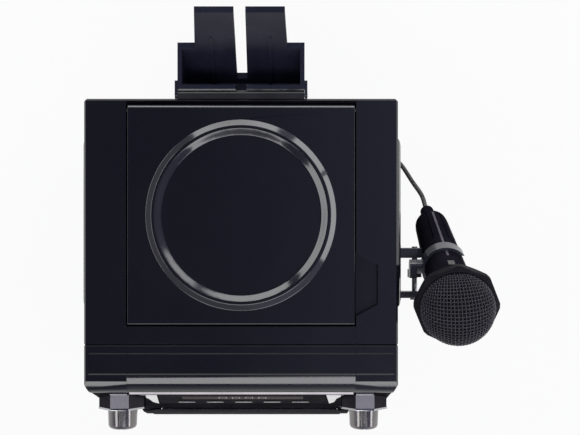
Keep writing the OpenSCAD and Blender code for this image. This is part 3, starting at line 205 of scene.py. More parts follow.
class StudioLooks(bpy.types.PropertyGroup):
    camera_height: length_setting("Camera height", "Height of the lens above the top face", 0.5, 3, 0.8)
    lamp: number_setting("Softbox brightness", "Radiance of the softboxes", 0, 20, 3.0)
    room: number_setting("Room brightness", "Radiance of the room overhead", 0, 2, 0.07)
    panel: number_setting("Panel brightness", "Radiance added on the right of the room", 0, 2, 0.16)


# Materials


def set_inputs(node, values):
    for name, value in values.items():
        node.inputs[name].default_value = value


def surface(name, colour, roughness, metallic=0.0):
    """New material with one Principled shader; returns the material and its shader."""
    mat = bpy.data.materials.new(name)
    mat.use_nodes = True
    mat.diffuse_color = (*colour, 1)
    shader = mat.node_tree.nodes["Principled BSDF"]
    set_inputs(shader, {"Base Color": (*colour, 1), "Roughness": roughness, "Metallic": metallic})
    return mat, shader


def noise_field(mat, scale, detail=2.0, stretch=(1, 1, 1), distortion=0.0):
    """Noise over the piece's own coordinates, scale in waves a metre."""
    nodes, links = mat.node_tree.nodes, mat.node_tree.links
    place = nodes.new("ShaderNodeTexCoord")
    spread = nodes.new("ShaderNodeMapping")
    spread.inputs["Scale"].default_value = [scale * s for s in stretch]
    noise = nodes.new("ShaderNodeTexNoise")
    set_inputs(noise, {"Scale": 1.0, "Detail": detail, "Distortion": distortion})
    links.new(place.outputs["Object"], spread.inputs["Vector"])
    links.new(spread.outputs["Vector"], noise.inputs["Vector"])
    return noise.outputs["Fac"]


def between(mat, field, low, high, start=0.35, end=0.65):
    """Maps a field of a material or world from start..end to low..high."""
    span = mat.node_tree.nodes.new("ShaderNodeMapRange")
    set_inputs(span, {"From Min": start, "From Max": end, "To Min": low, "To Max": high})
    mat.node_tree.links.new(field, span.inputs["Value"])
    return span.outputs["Result"]


def blend_colours(mat, field, first, second):
    """Colour that goes from first to second with the field."""
    mix = mat.node_tree.nodes.new("ShaderNodeMix")
    mix.data_type = "RGBA"
    for socket, value in ((6, first), (7, second)):
        mix.inputs[socket].default_value = (*value, 1)
    mat.node_tree.links.new(field, mix.inputs[0])
    return mix.outputs[2]


def uneven_gloss(mat, shader, scale, low, high, detail=3.0):
    """Roughness that drifts between low and high, as handling and polish leave it."""
    field = between(mat, noise_field(mat, scale, detail, distortion=0.6), low, high)
    mat.node_tree.links.new(field, shader.inputs["Roughness"])


def uneven_colour(mat, shader, scale, first, second, detail=4.0):
    field = between(mat, noise_field(mat, scale, detail), 0, 1)
    mat.node_tree.links.new(blend_colours(mat, field, first, second), shader.inputs["Base Color"])


def relief(mat, shader, field, depth):
    """Bump of that depth, in metres."""
    bump = mat.node_tree.nodes.new("ShaderNodeBump")
    bump.inputs["Distance"].default_value = depth
    mat.node_tree.links.new(field, bump.inputs["Height"])
    mat.node_tree.links.new(bump.outputs["Normal"], shader.inputs["Normal"])


def gloss_plastic(name, colour, roughness):
    """Polished moulding: faint waviness, drifting gloss and specks of dust."""
    mat, shader = surface(name, colour, roughness)
    uneven_gloss(mat, shader, 14, roughness * 0.8, roughness * 1.5)
    specks = between(mat, noise_field(mat, 1400, 1.0), 0, 1, 0.76, 0.80)
    dusty = tuple(c + 0.05 for c in colour)
    mat.node_tree.links.new(blend_colours(mat, specks, colour, dusty), shader.inputs["Base Color"])
    relief(mat, shader, noise_field(mat, 45, 1.0), 0.000012)
    shader.inputs["Specular IOR Level"].default_value = 1.0
    return mat


def grained_plastic(name, colour, depth, roughness=0.5, shine=0.5):
    """Spark-textured moulding."""
    mat, shader = surface(name, colour, roughness)
    shader.inputs["Specular IOR Level"].default_value = shine
    uneven_gloss(mat, shader, 30, roughness * 0.85, roughness * 1.15)
    uneven_colour(mat, shader, 60, colour, tuple(c * 1.35 for c in colour))
    relief(mat, shader, noise_field(mat, 1800, 2.0), depth)
    return mat


def cut_glare(shader):
    """Keeps a dark face dark when it is seen edge-on against the pale floor."""
    tint = (0.08, 0.08, 0.08, 1)
    set_inputs(shader, {"Metallic": 0.7, "Specular IOR Level": 0.0, "Specular Tint": tint})


def front_plastic(name, colour, depth, roughness):
    """Dull moulding of the front."""
    mat = grained_plastic(name, colour, depth, roughness)
    cut_glare(mat.node_tree.nodes["Principled BSDF"])
    return mat


def polished_metal(name, colour, roughness):
    """Plated metal with faint haze."""
    mat, shader = surface(name, colour, roughness, metallic=1.0)
    uneven_gloss(mat, shader, 60, roughness * 0.7, roughness * 1.6)
    relief(mat, shader, noise_field(mat, 220, 1.0), 0.000006)
    return mat


def brushed_metal(name, colour, roughness, stretch=(1, 1, 0.02), scale=2600):
    """Metal with fine lines along the stretched axis."""
    mat, shader = surface(name, colour, roughness, metallic=1.0)
    lines = noise_field(mat, scale, 2.0, stretch)
    gloss = between(mat, lines, roughness * 0.75, roughness * 1.4)
    mat.node_tree.links.new(gloss, shader.inputs["Roughness"])
    relief(mat, shader, lines, 0.00001)
    uneven_colour(mat, shader, 40, colour, tuple(c * 0.86 for c in colour))
    return mat


def soft_rubber(name, colour, depth=0.00003, roughness=0.62, shine=0.5):
    mat, shader = surface(name, colour, roughness)
    shader.inputs["Specular IOR Level"].default_value = shine
    uneven_gloss(mat, shader, 80, roughness * 0.9, roughness * 1.15)
    uneven_colour(mat, shader, 120, colour, tuple(c * 1.4 for c in colour))
    relief(mat, shader, noise_field(mat, 2400, 3.0), depth)
    return mat


def circuit_board(name):
    """Green lacquer over copper lanes, with pale printed marks."""
    mat, shader = surface(name, (0.01, 0.09, 0.04), 0.35)
    nodes, links = mat.node_tree.nodes, mat.node_tree.links
    place = nodes.new("ShaderNodeTexCoord")
    lanes = nodes.new("ShaderNodeTexBrick")
    set_inputs(lanes, {
        "Scale": 160, "Mortar Size": 0.08, "Color1": (0.008, 0.085, 0.035, 1),
        "Color2": (0.012, 0.12, 0.05, 1), "Mortar": (0.03, 0.2, 0.08, 1),
    })
    links.new(place.outputs["Object"], lanes.inputs["Vector"])
    links.new(lanes.outputs["Color"], shader.inputs["Base Color"])
    relief(mat, shader, lanes.outputs["Fac"], 0.00004)
    return mat


def pressed_paper(name):
    """Speaker cone: dark fibre pulp."""
    mat, shader = surface(name, (0.014, 0.014, 0.015), 0.85)
    fibres = noise_field(mat, 900, 6.0, distortion=1.5)
    uneven_colour(mat, shader, 500, (0.010, 0.010, 0.011), (0.028, 0.027, 0.028))
    relief(mat, shader, fibres, 0.00012)
    return mat


def smoked_window(name):
    """Dark red display window."""
    mat, shader = surface(name, (0.040, 0.016, 0.018), 0.06)
    cut_glare(shader)
    uneven_gloss(mat, shader, 20, 0.04, 0.09)
    relief(mat, shader, noise_field(mat, 60, 1.0), 0.000006)
    return mat


def lens_glass(name):
    mat, shader = surface(name, (0.05, 0.09, 0.22), 0.04)
    shader.inputs["Coat Weight"].default_value = 1.0
    uneven_gloss(mat, shader, 300, 0.02, 0.06)
    relief(mat, shader, noise_field(mat, 500, 1.0), 0.000004)
    return mat


def foam(name):
    """Open foam under the wires of the microphone head."""
    mat, shader = surface(name, (0.007, 0.007, 0.009), 0.95)
    uneven_colour(mat, shader, 1500, (0.004, 0.004, 0.005), (0.012, 0.012, 0.015), detail=2.0)
    relief(mat, shader, noise_field(mat, 1700, 2.0), 0.0004)
    return mat


FINISHES = {}


def finish_recipes(scene):
    """Maker and values of every finish; the settings give the colours a user may change."""
    shell, plastic, cord = scene.karaoke_shell, scene.karaoke_plastic, scene.karaoke_cord
    dark, grain = tuple(plastic.colour), plastic.grain
    fine, faint = 0.00001, 0.000004  # depths of the finer textures
    return {
        "gloss_shell": (gloss_plastic, tuple(shell.colour), shell.roughness),
        "satin_cradle": (grained_plastic, (0.0095, 0.0105, 0.0205), faint, 0.24, 0.5),
        "grained_black": (grained_plastic, dark, grain),
        "satin_black": (grained_plastic, dark, grain * 0.3, 0.3),
        "mic_body": (front_plastic, (0.028, 0.026, 0.038), faint, 0.36),
        # pale grey strip on the handle: painted highlight of the sheen along the handle between its
        # grooves
        "mic_stripe": (front_plastic, (0.20, 0.185, 0.21), faint, 0.35),
        "clip_plastic": (grained_plastic, (0.036, 0.037, 0.052), 0.000006, 0.24, 0.6),
        "holder_plastic": (gloss_plastic, (0.030, 0.030, 0.042), 0.18),
        "front_black": (front_plastic, (0.030, 0.028, 0.033), grain * 0.2, 0.4),
        "chrome": (polished_metal, (0.50, 0.50, 0.52), 0.09),
        # darker copy of the chrome: painted shade for the plated strip's faces set back under the lip
        "dark_chrome": (polished_metal, (0.20, 0.19, 0.20), 0.12),
        "gunmetal": (brushed_metal, (0.22, 0.21, 0.21), 0.16, (1, 0.02, 1)),
        "seat_silver": (brushed_metal, (0.30, 0.29, 0.32), 0.42, (1, 0.02, 1)),
        "steel": (brushed_metal, (0.55, 0.56, 0.58), 0.28),
        "zinc_plate": (brushed_metal, (0.50, 0.51, 0.53), 0.34, (0.03, 1, 1), 1200),
        "magnet_steel": (brushed_metal, (0.35, 0.36, 0.38), 0.4, (1, 1, 1), 500),
        "perforated_steel": (front_plastic, (0.050, 0.047, 0.053), fine, 0.4),
        "mesh_wire": (grained_plastic, (0.030, 0.028, 0.039), 0.000006, 0.3, 0.3),
        "rubber": (soft_rubber, (0.012, 0.012, 0.012)),
        "ring_rubber": (soft_rubber, (0.007, 0.007, 0.010), fine, 0.5, 0.06),
        "cord_jacket": (soft_rubber, tuple(cord.colour), fine, 0.42),
        "foam": (foam,),
        "board": (circuit_board,),
        "paper": (pressed_paper,),
        "window": (smoked_window,),
        "lens": (lens_glass,),
        "white_nylon": (grained_plastic, (0.72, 0.71, 0.66), fine, 0.45),
        "print_grey": (grained_plastic, (0.45, 0.45, 0.46), faint, 0.5),
        "digit_red": (grained_plastic, (0.10, 0.006, 0.008), 0.000002, 0.2),
        "socket_yellow": (grained_plastic, (0.62, 0.42, 0.02), fine, 0.4),
        "socket_white": (grained_plastic, (0.68, 0.68, 0.66), fine, 0.4),
        "socket_red": (grained_plastic, (0.48, 0.02, 0.02), fine, 0.4),
    }


def finish_named(name):
    """The finish of that name, made on first use."""
    if name not in FINISHES:
        maker, *values = finish_recipes(bpy.context.scene)[name]
        FINISHES[name] = maker(name, *values)
    return FINISHES[name]


# Meshes


def dress(node, *finishes):
    """Gives a CAD node its finish."""
    mesh = NODES[node].data
    mesh.materials.clear()
    for name in finishes:
        mesh.materials.append(finish_named(name))


def dress_all(**finishes):
    """Gives each CAD node one finish."""
    for node, finish in finishes.items():
        dress(node, finish)


def round_edges(node, width, angle=28, clamp=True):
    """Rounds the sharp edges of a CAD node by modifiers; its own mesh stays as imported."""
    piece = NODES[node]
    weld = piece.modifiers.new("weld", "WELD")
    weld.merge_threshold = 0.000004
    bevel = piece.modifiers.new("bevel", "BEVEL")
    bevel.width = width
    bevel.segments = 2
    bevel.limit_method = "ANGLE"
    bevel.angle_limit = math.radians(angle)
    bevel.use_clamp_overlap = clamp
    weighted = piece.modifiers.new("weighted", "WEIGHTED_NORMAL")
    weighted.keep_sharp = False
    weighted.weight = 60


def round_all(**widths):
    for node, width in widths.items():
        round_edges(node, width)


def add_object(name, data):
    """New object in the scene."""
    thing = bpy.data.objects.new(name, data)
    bpy.context.scene.collection.objects.link(thing)
    return thing


def mesh_object(name, bm):
    """New object of the mesh, which is used up."""
    mesh = bpy.data.meshes.new(name)
    bm.to_mesh(mesh)
    bm.free()
    return add_object(name, mesh)


def new_piece(name, bm, finishes, body, replaced=(), smooth=True):
    """Makes an object of the mesh and lets it ride on its body."""
    piece = mesh_object(name, bm)
    if smooth:
        piece.data.shade_smooth()
    for finish in finishes:
        piece.data.materials.append(finish_named(finish))
    if body:
        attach(piece, body)
    if replaced:
        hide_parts(*replaced)
    return piece


def marks(name, outlines, low, high, body, finish="print_grey"):
    """Flat marks that ride on their body, from pairs of an outline and its place."""
    bm = bmesh.new()
    for outline, place in outlines:
        prism(bm, outline, low, high, place)
    new_piece(name, bm, [finish], body, smooth=False)


def skin(bm, rings, inward=False):
    """Quads between each ring of vertices and the next."""
    for a, b in zip(rings, rings[1:]):
        for k in range(len(a)):
            n = (k + 1) % len(a)
            bm.faces.new([a[k], b[k], b[n], a[n]] if inward else [a[k], a[n], b[n], b[k]])


def circle(bm, radius, height, steps, place):
    """Ring of new vertices about the z axis of place."""
    turns = (2 * math.pi * k / steps for k in range(steps))
    return [
        bm.verts.new(place @ Vector((radius * math.cos(a), radius * math.sin(a), height))) for a in turns
    ]


def lathe(bm, profile, steps, place, material=0):
    """Turns (radius, height) points about the z axis of place."""
    rings = []
    for radius, height in profile:
        if radius < 1e-7:
            rings.append([bm.verts.new(place @ Vector((0, 0, height)))])
        else:
            rings.append(circle(bm, radius, height, steps, place))
    for low, high in zip(rings, rings[1:]):
        for k in range(steps):
            n = (k + 1) % steps
            corners = [low[k % len(low)], low[n % len(low)], high[n % len(high)], high[k % len(high)]]
            face = bm.faces.new(list(dict.fromkeys(corners)))
            face.material_index = material


def prism(bm, outline, low, high, place):
    """Upright block on a flat outline, with a narrow chamfer round its top."""
    chamfer = min(0.00015, (high - low) / 3)
    middle = Vector((sum(p[0] for p in outline), sum(p[1] for p in outline))) / len(outline)

    def ring(height, inset):
        out = []
        for x, y in outline:
            inward = middle - Vector((x, y))
            if inward.length > 0:
                inward = inward.normalized() * inset
            out.append(bm.verts.new(place @ Vector((x + inward.x, y + inward.y, height))))
        return out

    rings = [ring(low, 0), ring(high - chamfer, 0), ring(high, chamfer)]
    skin(bm, rings)
    bm.faces.new(rings[-1])
    bm.faces.new(list(reversed(rings[0])))


def rings_along(bm, points, radius, sides, side):
    """Rings of vertices round a run of points, carried along without twist."""
    rings = []
    for i, point in enumerate(points):
        before, after = points[max(i - 1, 0)], points[min(i + 1, len(points) - 1)]
        heading = (after - before).normalized()
        side = (side - side.dot(heading) * heading).normalized()
        other = heading.cross(side)
        turns = (math.tau * k / sides for k in range(sides))
        rings.append([
            bm.verts.new(point + radius * (math.cos(a) * side + math.sin(a) * other)) for a in turns
        ])
    return rings


def tube(bm, points, radius, sides):
    """Round tube along a run of points, closed at its ends."""
    heading = (points[1] - points[0]).normalized()
    side = heading.cross(Vector((0.3, 0.2, 1))).normalized()
    rings = rings_along(bm, points, radius, sides, side)
    skin(bm, rings, inward=True)
    bm.faces.new(rings[0])
    bm.faces.new(list(reversed(rings[-1])))
    bmesh.ops.recalc_face_normals(bm, faces=bm.faces)


def smooth_run(points, per_span):
    """Curve through the points, each span cut into per_span pieces."""
    pts = [Vector(p) for p in points]
    run = []
    for i in range(len(pts) - 1):
        a, b, c, d = pts[max(i - 1, 0)], pts[i], pts[i + 1], pts[min(i + 2, len(pts) - 1)]
        for k in range(per_span):
            t = k / per_span
            run.append(0.5 * (2 * b + (c - a) * t + (2 * a - 5 * b + 4 * c - d) * t * t
                              + (3 * b - a - 3 * c + d) * t ** 3))
    run.append(pts[-1])
    return run


# Cord: the route of the construction, from the tail of the microphone to the plug

DROP_POINTS = [
    (0.149, 0.02402, 0.14565), (0.149, 0.02615, 0.14004), (0.149, 0.02935, 0.13162),
    (0.148, 0.03965, 0.11203), (0.143, 0.05165, 0.08682), (0.136, 0.06715, 0.06162),
    (0.129, 0.07815, 0.03641), (0.124, 0.08715, 0.0154), (0.121, 0.0955, 0.0038),
    (0.1185, 0.1035, 0.002), (0.113, 0.111, 0.002), (0.104, 0.1165, 0.002), (0.092, 0.1185, 0.002),
    (0.076, 0.1175, 0.002), (0.058, 0.114, 0.002), (0.042, 0.1106, 0.0019), (0.032, 0.1093, 0.002),
    (0.024, 0.1093, 0.002),
]
LEAD_POINTS = [
    (0.024, 0.1627, 0.0158), (0.031, 0.1627, 0.0158), (0.04, 0.1607, 0.0204), (0.044, 0.1577, 0.0334),
    (0.041, 0.1567, 0.0504), (0.033, 0.1547, 0.064), (0.027, 0.1515, 0.07), (0.026, 0.1435, 0.07),
    (0.026, 0.1375, 0.07),
]
COIL_PLACE = (0.020, 0.136, 0.0020)
COIL_R = 0.0267
COIL_LAYERS = 4
LAYER_TURNS = 2.25
CLIMB_TURNS = 0.5
LOOP_PITCH = 0.0052
LAYER_PITCH = 0.0046
STEPS_A_TURN = 32
STEPS_A_SPAN = 5
MIC_PART = 0.0305  # stretch of cord between microphone and clip
CLIP_PART = 0.0305  # stretch of cord between clip and arm
ARM_PART = 0.08  # stretch of cord between arm and cabinet


def coil_point(turn):
    """Place on the coil after that many turns from its outer end."""
    layer = min(int(turn / (LAYER_TURNS + CLIMB_TURNS)), COIL_LAYERS - 1)
    along = turn - layer * (LAYER_TURNS + CLIMB_TURNS)
    wound = min(along, LAYER_TURNS)
    inner = COIL_R - LOOP_PITCH * LAYER_TURNS
    radius = COIL_R - LOOP_PITCH * wound if layer % 2 == 0 else inner + LOOP_PITCH * wound
    climb = max(0.0, along - LAYER_TURNS) / CLIMB_TURNS
    climb = climb * climb * (3 - 2 * climb)
    angle = -math.pi / 2 - 2 * math.pi * turn
    x, y, z = COIL_PLACE
    height = z + (layer + climb) * LAYER_PITCH
    return Vector((x + radius * math.cos(angle), y + radius * math.sin(angle), height))


def cord_line():
    """Every ring centre of the whole cord, in the shared frame."""
    turns = COIL_LAYERS * LAYER_TURNS + (COIL_LAYERS - 1) * CLIMB_TURNS
    steps = int(turns * STEPS_A_TURN)
    line = smooth_run(DROP_POINTS, STEPS_A_SPAN)[:-1]
    line += [coil_point(turns * k / steps) for k in range(steps + 1)]
    line += smooth_run(LEAD_POINTS, STEPS_A_SPAN)
    return [at(*p) for p in line]


def part_of_line(line, start, end):
    """The stretch of the line between two distances from its first point."""
    out, gone = [], 0.0
    for a, b in zip(line, line[1:]):
        step = (b - a).length
        if gone <= start < gone + step:
            out.append(a.lerp(b, (start - gone) / step))
        if out and gone + step > end:
            out.append(a.lerp(b, (end - gone) / step))
            return out
        if out:
            out.append(b)
        gone += step
    return out


def length_of(line):
    return sum((b - a).length for a, b in zip(line, line[1:]))


def cord_piece(name, line, diameter):
    """One stretch of cord, as a tube."""
    bm = bmesh.new()
    tube(bm, line, diameter / 2, 12)
    for vert in bm.verts:
        vert.co.z = max(vert.co.z, 0.0)
    piece = new_piece(name, bm, ["cord_jacket"], None)
    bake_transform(piece)
    return piece


class CordOperator(bpy.types.Operator):
    """Lays the microphone cord from the handle's tail, round the back and into its plug"""

    bl_idname = "karaoke.cord"
    bl_label = "Microphone cord"

    def execute(self, context):
        looks = context.scene.karaoke_cord
        line = cord_line()
        whole = length_of(line)
        upper = part_of_line(line, 0, MIC_PART)
        middle = part_of_line(line, MIC_PART, MIC_PART + CLIP_PART)
        rest = part_of_line(line, MIC_PART + CLIP_PART, whole)
        knee = part_of_line(rest, 0, ARM_PART)[-1]
        size = looks.diameter
        first = cord_piece("cord_at_handle", upper, size)
        second = cord_piece("cord_at_clip", middle, size)
        third = cord_piece("cord_on_floor", rest, size)
        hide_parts("mic_cord")
        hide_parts("mic_cord", "cord_coil", "cord_lead")
        dress("mic_plug", "steel")
        return {"FINISHED"}


# Cabinet and disc deck


class ShellOperator(bpy.types.Operator):
    """Polishes the cabinet halves, the lid and the side panels, and rounds their edges"""

    bl_idname = "karaoke.shell"
    bl_label = "Cabinet and lid"

    def execute(self, context):
        edge = context.scene.karaoke_shell.edge
        dress("front_cabinet", "gloss_shell", "front_black", "seat_silver")
        self.dull_front()
        dress_all(
            rear_cabinet="gloss_shell", side_trims="gloss_shell", disc_lid="gloss_shell",
            base_plate="grained_black", rubber_feet="rubber",
        )
        round_all(rear_cabinet=edge, front_cabinet=edge, side_trims=edge)
        round_edges("disc_lid", edge * 0.6, 18, False)
        return {"FINISHED"}

    def dull_front(self):
        """Dulls the front under the rounded lip and gives the tops of the knob seats their silver."""
        dull, silver = 1, 2
        front = NODES["front_cabinet"]
        for face in front.data.polygons:
            place = front.matrix_world @ face.center - MIDDLE
            reach = math.hypot(abs(place.x) - KNOB_X, place.z - KNOB_Z)
            on_seat = SEAT_RADII[0] < reach < SEAT_RADII[1] and place.y < SEAT_Y + 0.02
            if on_seat and face.normal.z > 0.9:
                face.material_index = silver
            elif place.z < LIP_Z - 0.0002 and place.y < BEZEL_Y + 0.0008:
                face.material_index = dull


class DeckOperator(bpy.types.Operator):
    """Finishes the tray and the disc drive under the lid"""

    bl_idname = "karaoke.deck"
    bl_label = "Disc deck"

    def execute(self, context):
        dress_all(
            disc_tray="grained_black", lid_pins="satin_black", spindle_hub="satin_black",
            spindle_motor="steel", deck_plate="zinc_plate", damper_grommets="rubber",
            optical_pickup="grained_black", pickup_lens="lens", guide_rods="steel",
            sled_gear="white_nylon", main_board="board",
        )
        return {"FINISHED"}


# Control face


def oblong(x0, y0, x1, y1):
    """Outline of a rectangle from one corner to the opposite one."""
    return [(x0, y0), (x1, y0), (x1, y1), (x0, y1)]


def symbol_outlines(kind):
    """Outlines of the plain symbol on a key, in metres on the key's face."""
    bar = oblong(-0.0003, -0.0011, 0.0003, 0.0011)
    arrow = [(-0.0009, -0.0011), (0.0009, 0.0), (-0.0009, 0.0011)]

    def moved(shape, dx, flip=False):
        pts = [(-x if flip else x, y) for x, y in shape]
        return [(x + dx, y) for x, y in (reversed(pts) if flip else pts)]

    if kind == "play":
        return [moved(arrow, -0.0013), moved(bar, 0.0006), moved(bar, 0.0018)]
    if kind == "stop":
        return [oblong(-0.0010, -0.0010, 0.0010, 0.0010)]
    if kind == "next":
        return [moved(arrow, -0.0013), moved(arrow, 0.0005), moved(bar, 0.0019)]
    if kind == "back":
        return [moved(arrow, 0.0013, True), moved(arrow, -0.0005, True), moved(bar, -0.0019)]
    lamp = [(0.0010 * math.cos(a), 0.0010 * math.sin(a)) for a in (k * math.pi / 6 for k in range(12))]
    rays = []
    for k in range(8):
        c, s = math.cos(k * math.pi / 4), math.sin(k * math.pi / 4)
        ray = oblong(0.0013, -0.00013, 0.0018, 0.00013)
        rays.append([(x * c - y * s, x * s + y * c) for x, y in ray])
    return [lamp, *rays]


def digit_segments(x):
    """Outlines of the seven unlit strokes of one number on the display."""
    w, h, t = 0.0042, 0.0045, 0.0007
    flat = [(-w / 2, 0), (-w / 2 + t / 2, -t / 2), (w / 2 - t / 2, -t / 2), (w / 2, 0),
            (w / 2 - t / 2, t / 2), (-w / 2 + t / 2, t / 2)]
    tall = [(0, -h / 2), (t / 2, -h / 2 + t / 2), (t / 2, h / 2 - t / 2), (0, h / 2),
            (-t / 2, h / 2 - t / 2), (-t / 2, -h / 2 + t / 2)]
    out = [[(px + x, py + dy) for px, py in flat] for dy in (-h, 0, h)]
    for dx in (-w / 2 - t * 0.6, w / 2 + t * 0.6):
        for dy in (-h / 2, h / 2):
            out.append([(px + x + dx, py + dy) for px, py in tall])
    return out


TICK = oblong(0.0128, -0.0002, 0.0146, 0.0002)
POINTER = oblong(-0.0005, 0.0046, 0.0005, 0.0091)


class ControlsOperator(bpy.types.Operator):
    """Finishes the control face: window with its number display, keys, knobs, rims and sockets"""

    bl_idname = "karaoke.controls"
    bl_label = "Control face"

    def execute(self, context):
        dress_all(
            control_panel="front_black", display_window="window", key_board="board",
            seat_rims="chrome", level_pots="steel", front_jacks="chrome", level_lamps="chrome",
            knob_left="gunmetal", knob_right="gunmetal",
        )
        round_all(
            control_panel=0.0003, display_window=0.0003, chrome_trim=0.00025, seat_rims=0.0003,
            level_lamps=0.0002,
        )
        dress("chrome_trim", "chrome", "dark_chrome")
        # The strip's faces set back behind its front face, under the lip, take the darker chrome as
        # painted shade.
        trim = NODES["chrome_trim"]
        for side in trim.data.polygons:
            if (trim.matrix_world @ side.center - MIDDLE).y > BEZEL_Y - TRIM_OUT:
                side.material_index = 1
        face = panel_frame()
        for index, kind in ((0, "play"), (1, "stop"), (-1, "back"), (2, "next"), (-2, "lights")):
            node = "button_" + kind
            dress(node, "satin_black")
            round_edges(node, 0.0003)
            place = face @ Matrix.Translation((index * KEY_STEP, KEY_Y, 0))
            symbol = [(outline, place) for outline in symbol_outlines(kind)]
            marks("symbol_" + kind, symbol, KEY_FACE, KEY_FACE + 0.00014, "key_" + kind)
        place = face @ Matrix.Translation((0, WINDOW_Y, 0))
        strokes = [(s, place) for k in range(4) for s in digit_segments((k - 1.5) * DIGIT_STEP)]
        low, high = WINDOW_FACE - 0.0001, WINDOW_FACE + 0.00014
        marks("display_digits", strokes, low, high, "cabinet", "digit_red")
        self.dial_marks()
        return {"FINISHED"}

    def dial_marks(self):
        """Ticks round each knob seat and the pointer line in each knob."""
        for side, name in ((-1, "left"), (1, "right")):
            seat = Matrix.Translation(at(side * KNOB_X, SEAT_Y, KNOB_Z)) @ turned(90)
            ticks = [(TICK, seat @ turned(90 + 150 - 30 * k, "Z")) for k in range(11)]
            marks("dial_marks_" + name, ticks, -0.0001, 0.00012, "cabinet")
            knob = seat @ Matrix.Translation((0, 0, KNOB_TOP))
            marks("pointer_" + name, [(POINTER, knob)], -0.0003, 0.0001, "dial_" + name)


# Loudspeaker


def grille_depth(z):
    """How far the outer face of the sheet stands in front of the grille's edge plane."""
    return math.sqrt(GRILLE_BOW ** 2 - z * z) - GRILLE_BOW + GRILLE_BULGE


def clamp_rounded(x, z, width, height):
    """Nearest point inside a rectangle about the origin with the grille's round corners."""
    corner = GRILLE_CORNER
    x, z = max(-width / 2, min(width / 2, x)), max(-height / 2, min(height / 2, z))
    cx, cz = width / 2 - corner, height / 2 - corner
    dx, dz = abs(x) - cx, abs(z) - cz
    if dx > 0 and dz > 0 and math.hypot(dx, dz) > corner:
        shrink = corner / math.hypot(dx, dz)
        x, z = math.copysign(cx + dx * shrink, x), math.copysign(cz + dz * shrink, z)
    return x, z


def in_rounded(x, z, width, height):
    return clamp_rounded(x, z, width, height) == (x, z)


class SpeakerOperator(bpy.types.Operator):
    """Makes the perforated grille sheet and finishes the loudspeaker behind it"""

    bl_idname = "karaoke.speaker"
    bl_label = "Loudspeaker and grille"

    def execute(self, context):
        looks = context.scene.karaoke_grille
        bm = bmesh.new()
        self.sheet(bm, looks.hole_pitch, looks.hole_d)
        new_piece(
            "grille_sheet", bm, ["perforated_steel"], "cabinet", ["speaker_grille"],
            smooth=False,
        )
        dress_all(
            grille_frame="front_black", speaker_basket="grained_black", speaker_magnet="magnet_steel",
            speaker_cone="paper", speaker_surround="rubber",
        )
        round_edges("grille_frame", 0.0006)
        return {"FINISHED"}

    def sheet(self, bm, pitch, hole_d):
        """Cells of six sides, each with a twelve-sided hole; cells at the border stay closed."""
        rise = pitch * math.sqrt(3) / 2
        corners = [(pitch / math.sqrt(3), math.pi / 6 + k * math.pi / 3) for k in range(6)]
        edge_mids = [(pitch / 2, k * math.pi / 3) for k in range(6)]
        rim = sorted(corners + edge_mids, key=lambda p: p[1])
        hole_r = hole_d / 2
        margin = hole_r + SHEET_RIM
        shared = {}

        def on_sheet(x, z, back=0.0):
            return bm.verts.new(at(x, FRONT_Y - SHEET_BACK + back - grille_depth(z), GRILLE_Z + z))

        def outer(x, z):
            x, z = clamp_rounded(x, z, GRILLE_W, GRILLE_H)
            key = (round(x * 1e6), round(z * 1e6))
            if key not in shared:
                shared[key] = on_sheet(x, z)
            return shared[key]

        rows = int(GRILLE_H / 2 / rise) + 1
        cols = int(GRILLE_W / 2 / pitch) + 1
        for i in range(-rows, rows + 1):
            for k in range(-cols, cols + 1):
                x, z = (k + (i % 2) / 2) * pitch, i * rise
                if not in_rounded(x, z, GRILLE_W + pitch, GRILLE_H + pitch):
                    continue
                ring = [outer(x + r * math.cos(a), z + r * math.sin(a)) for r, a in rim]
                if not in_rounded(x, z, GRILLE_W - 2 * margin, GRILLE_H - 2 * margin):
                    ring = list(dict.fromkeys(ring))
                    if len(ring) > 2:
                        bm.faces.new(ring)
                    continue
                mouth, end = (
                    [on_sheet(x + hole_r * math.cos(a), z + hole_r * math.sin(a), back) for _, a in rim]
                    for back in (0.0, SHEET_T)
                )
                skin(bm, [ring, mouth, end])


# Cradle, holder and back panel


class CradleOperator(bpy.types.Operator):
    """Finishes the tablet cradle and its hinge"""

    bl_idname = "karaoke.cradle"
    bl_label = "Tablet cradle"

    def execute(self, context):
        dress_all(tablet_cradle="satin_cradle", cradle_bracket="satin_black", cradle_pin="steel")
        round_all(tablet_cradle=0.0009, cradle_bracket=0.0004)
        return {"FINISHED"}


class HolderOperator(bpy.types.Operator):
    """Finishes the microphone holder on the right side"""

    bl_idname = "karaoke.holder"
    bl_label = "Microphone holder"

    def execute(self, context):
        dress_all(
            holder_base="holder_plastic", holder_arm="holder_plastic", mic_clip="clip_plastic",
            holder_pin="steel",
        )
        round_all(holder_base=0.0005, holder_arm=0.0005, mic_clip=0.0004)
        return {"FINISHED"}


class BackPanelOperator(bpy.types.Operator):
    """Finishes the back panel and puts the coloured inserts into its sockets"""

    bl_idname = "karaoke.back_panel"
    bl_label = "Back panel"

    def execute(self, context):
        dress_all(
            jack_panel="grained_black", rca_jacks="steel", mic_jack="chrome",
            power_inlet="satin_black", power_switch="satin_black",
        )
        round_edges("power_switch", 0.0003)
        bm = bmesh.new()
        profile = [(0.00262, 0.0012), (0.00368, 0.0012), (0.00368, 0.0080), (0.0034, 0.0083),
                   (0.0029, 0.0083), (0.00262, 0.0080), (0.00262, 0.0012)]
        for k in range(3):
            middle = at(JACK_X + k * JACK_STEP, HALF_DEPTH - 0.0025, JACK_Z)
            lathe(bm, profile, 32, Matrix.Translation(middle) @ turned(-90), k)
        bmesh.ops.recalc_face_normals(bm, faces=bm.faces)
        colours = ["socket_yellow", "socket_white", "socket_red"]
        new_piece("socket_inserts", bm, colours, "cabinet")
        return {"FINISHED"}


# Screws: head radius, head height, shank radius and shank length

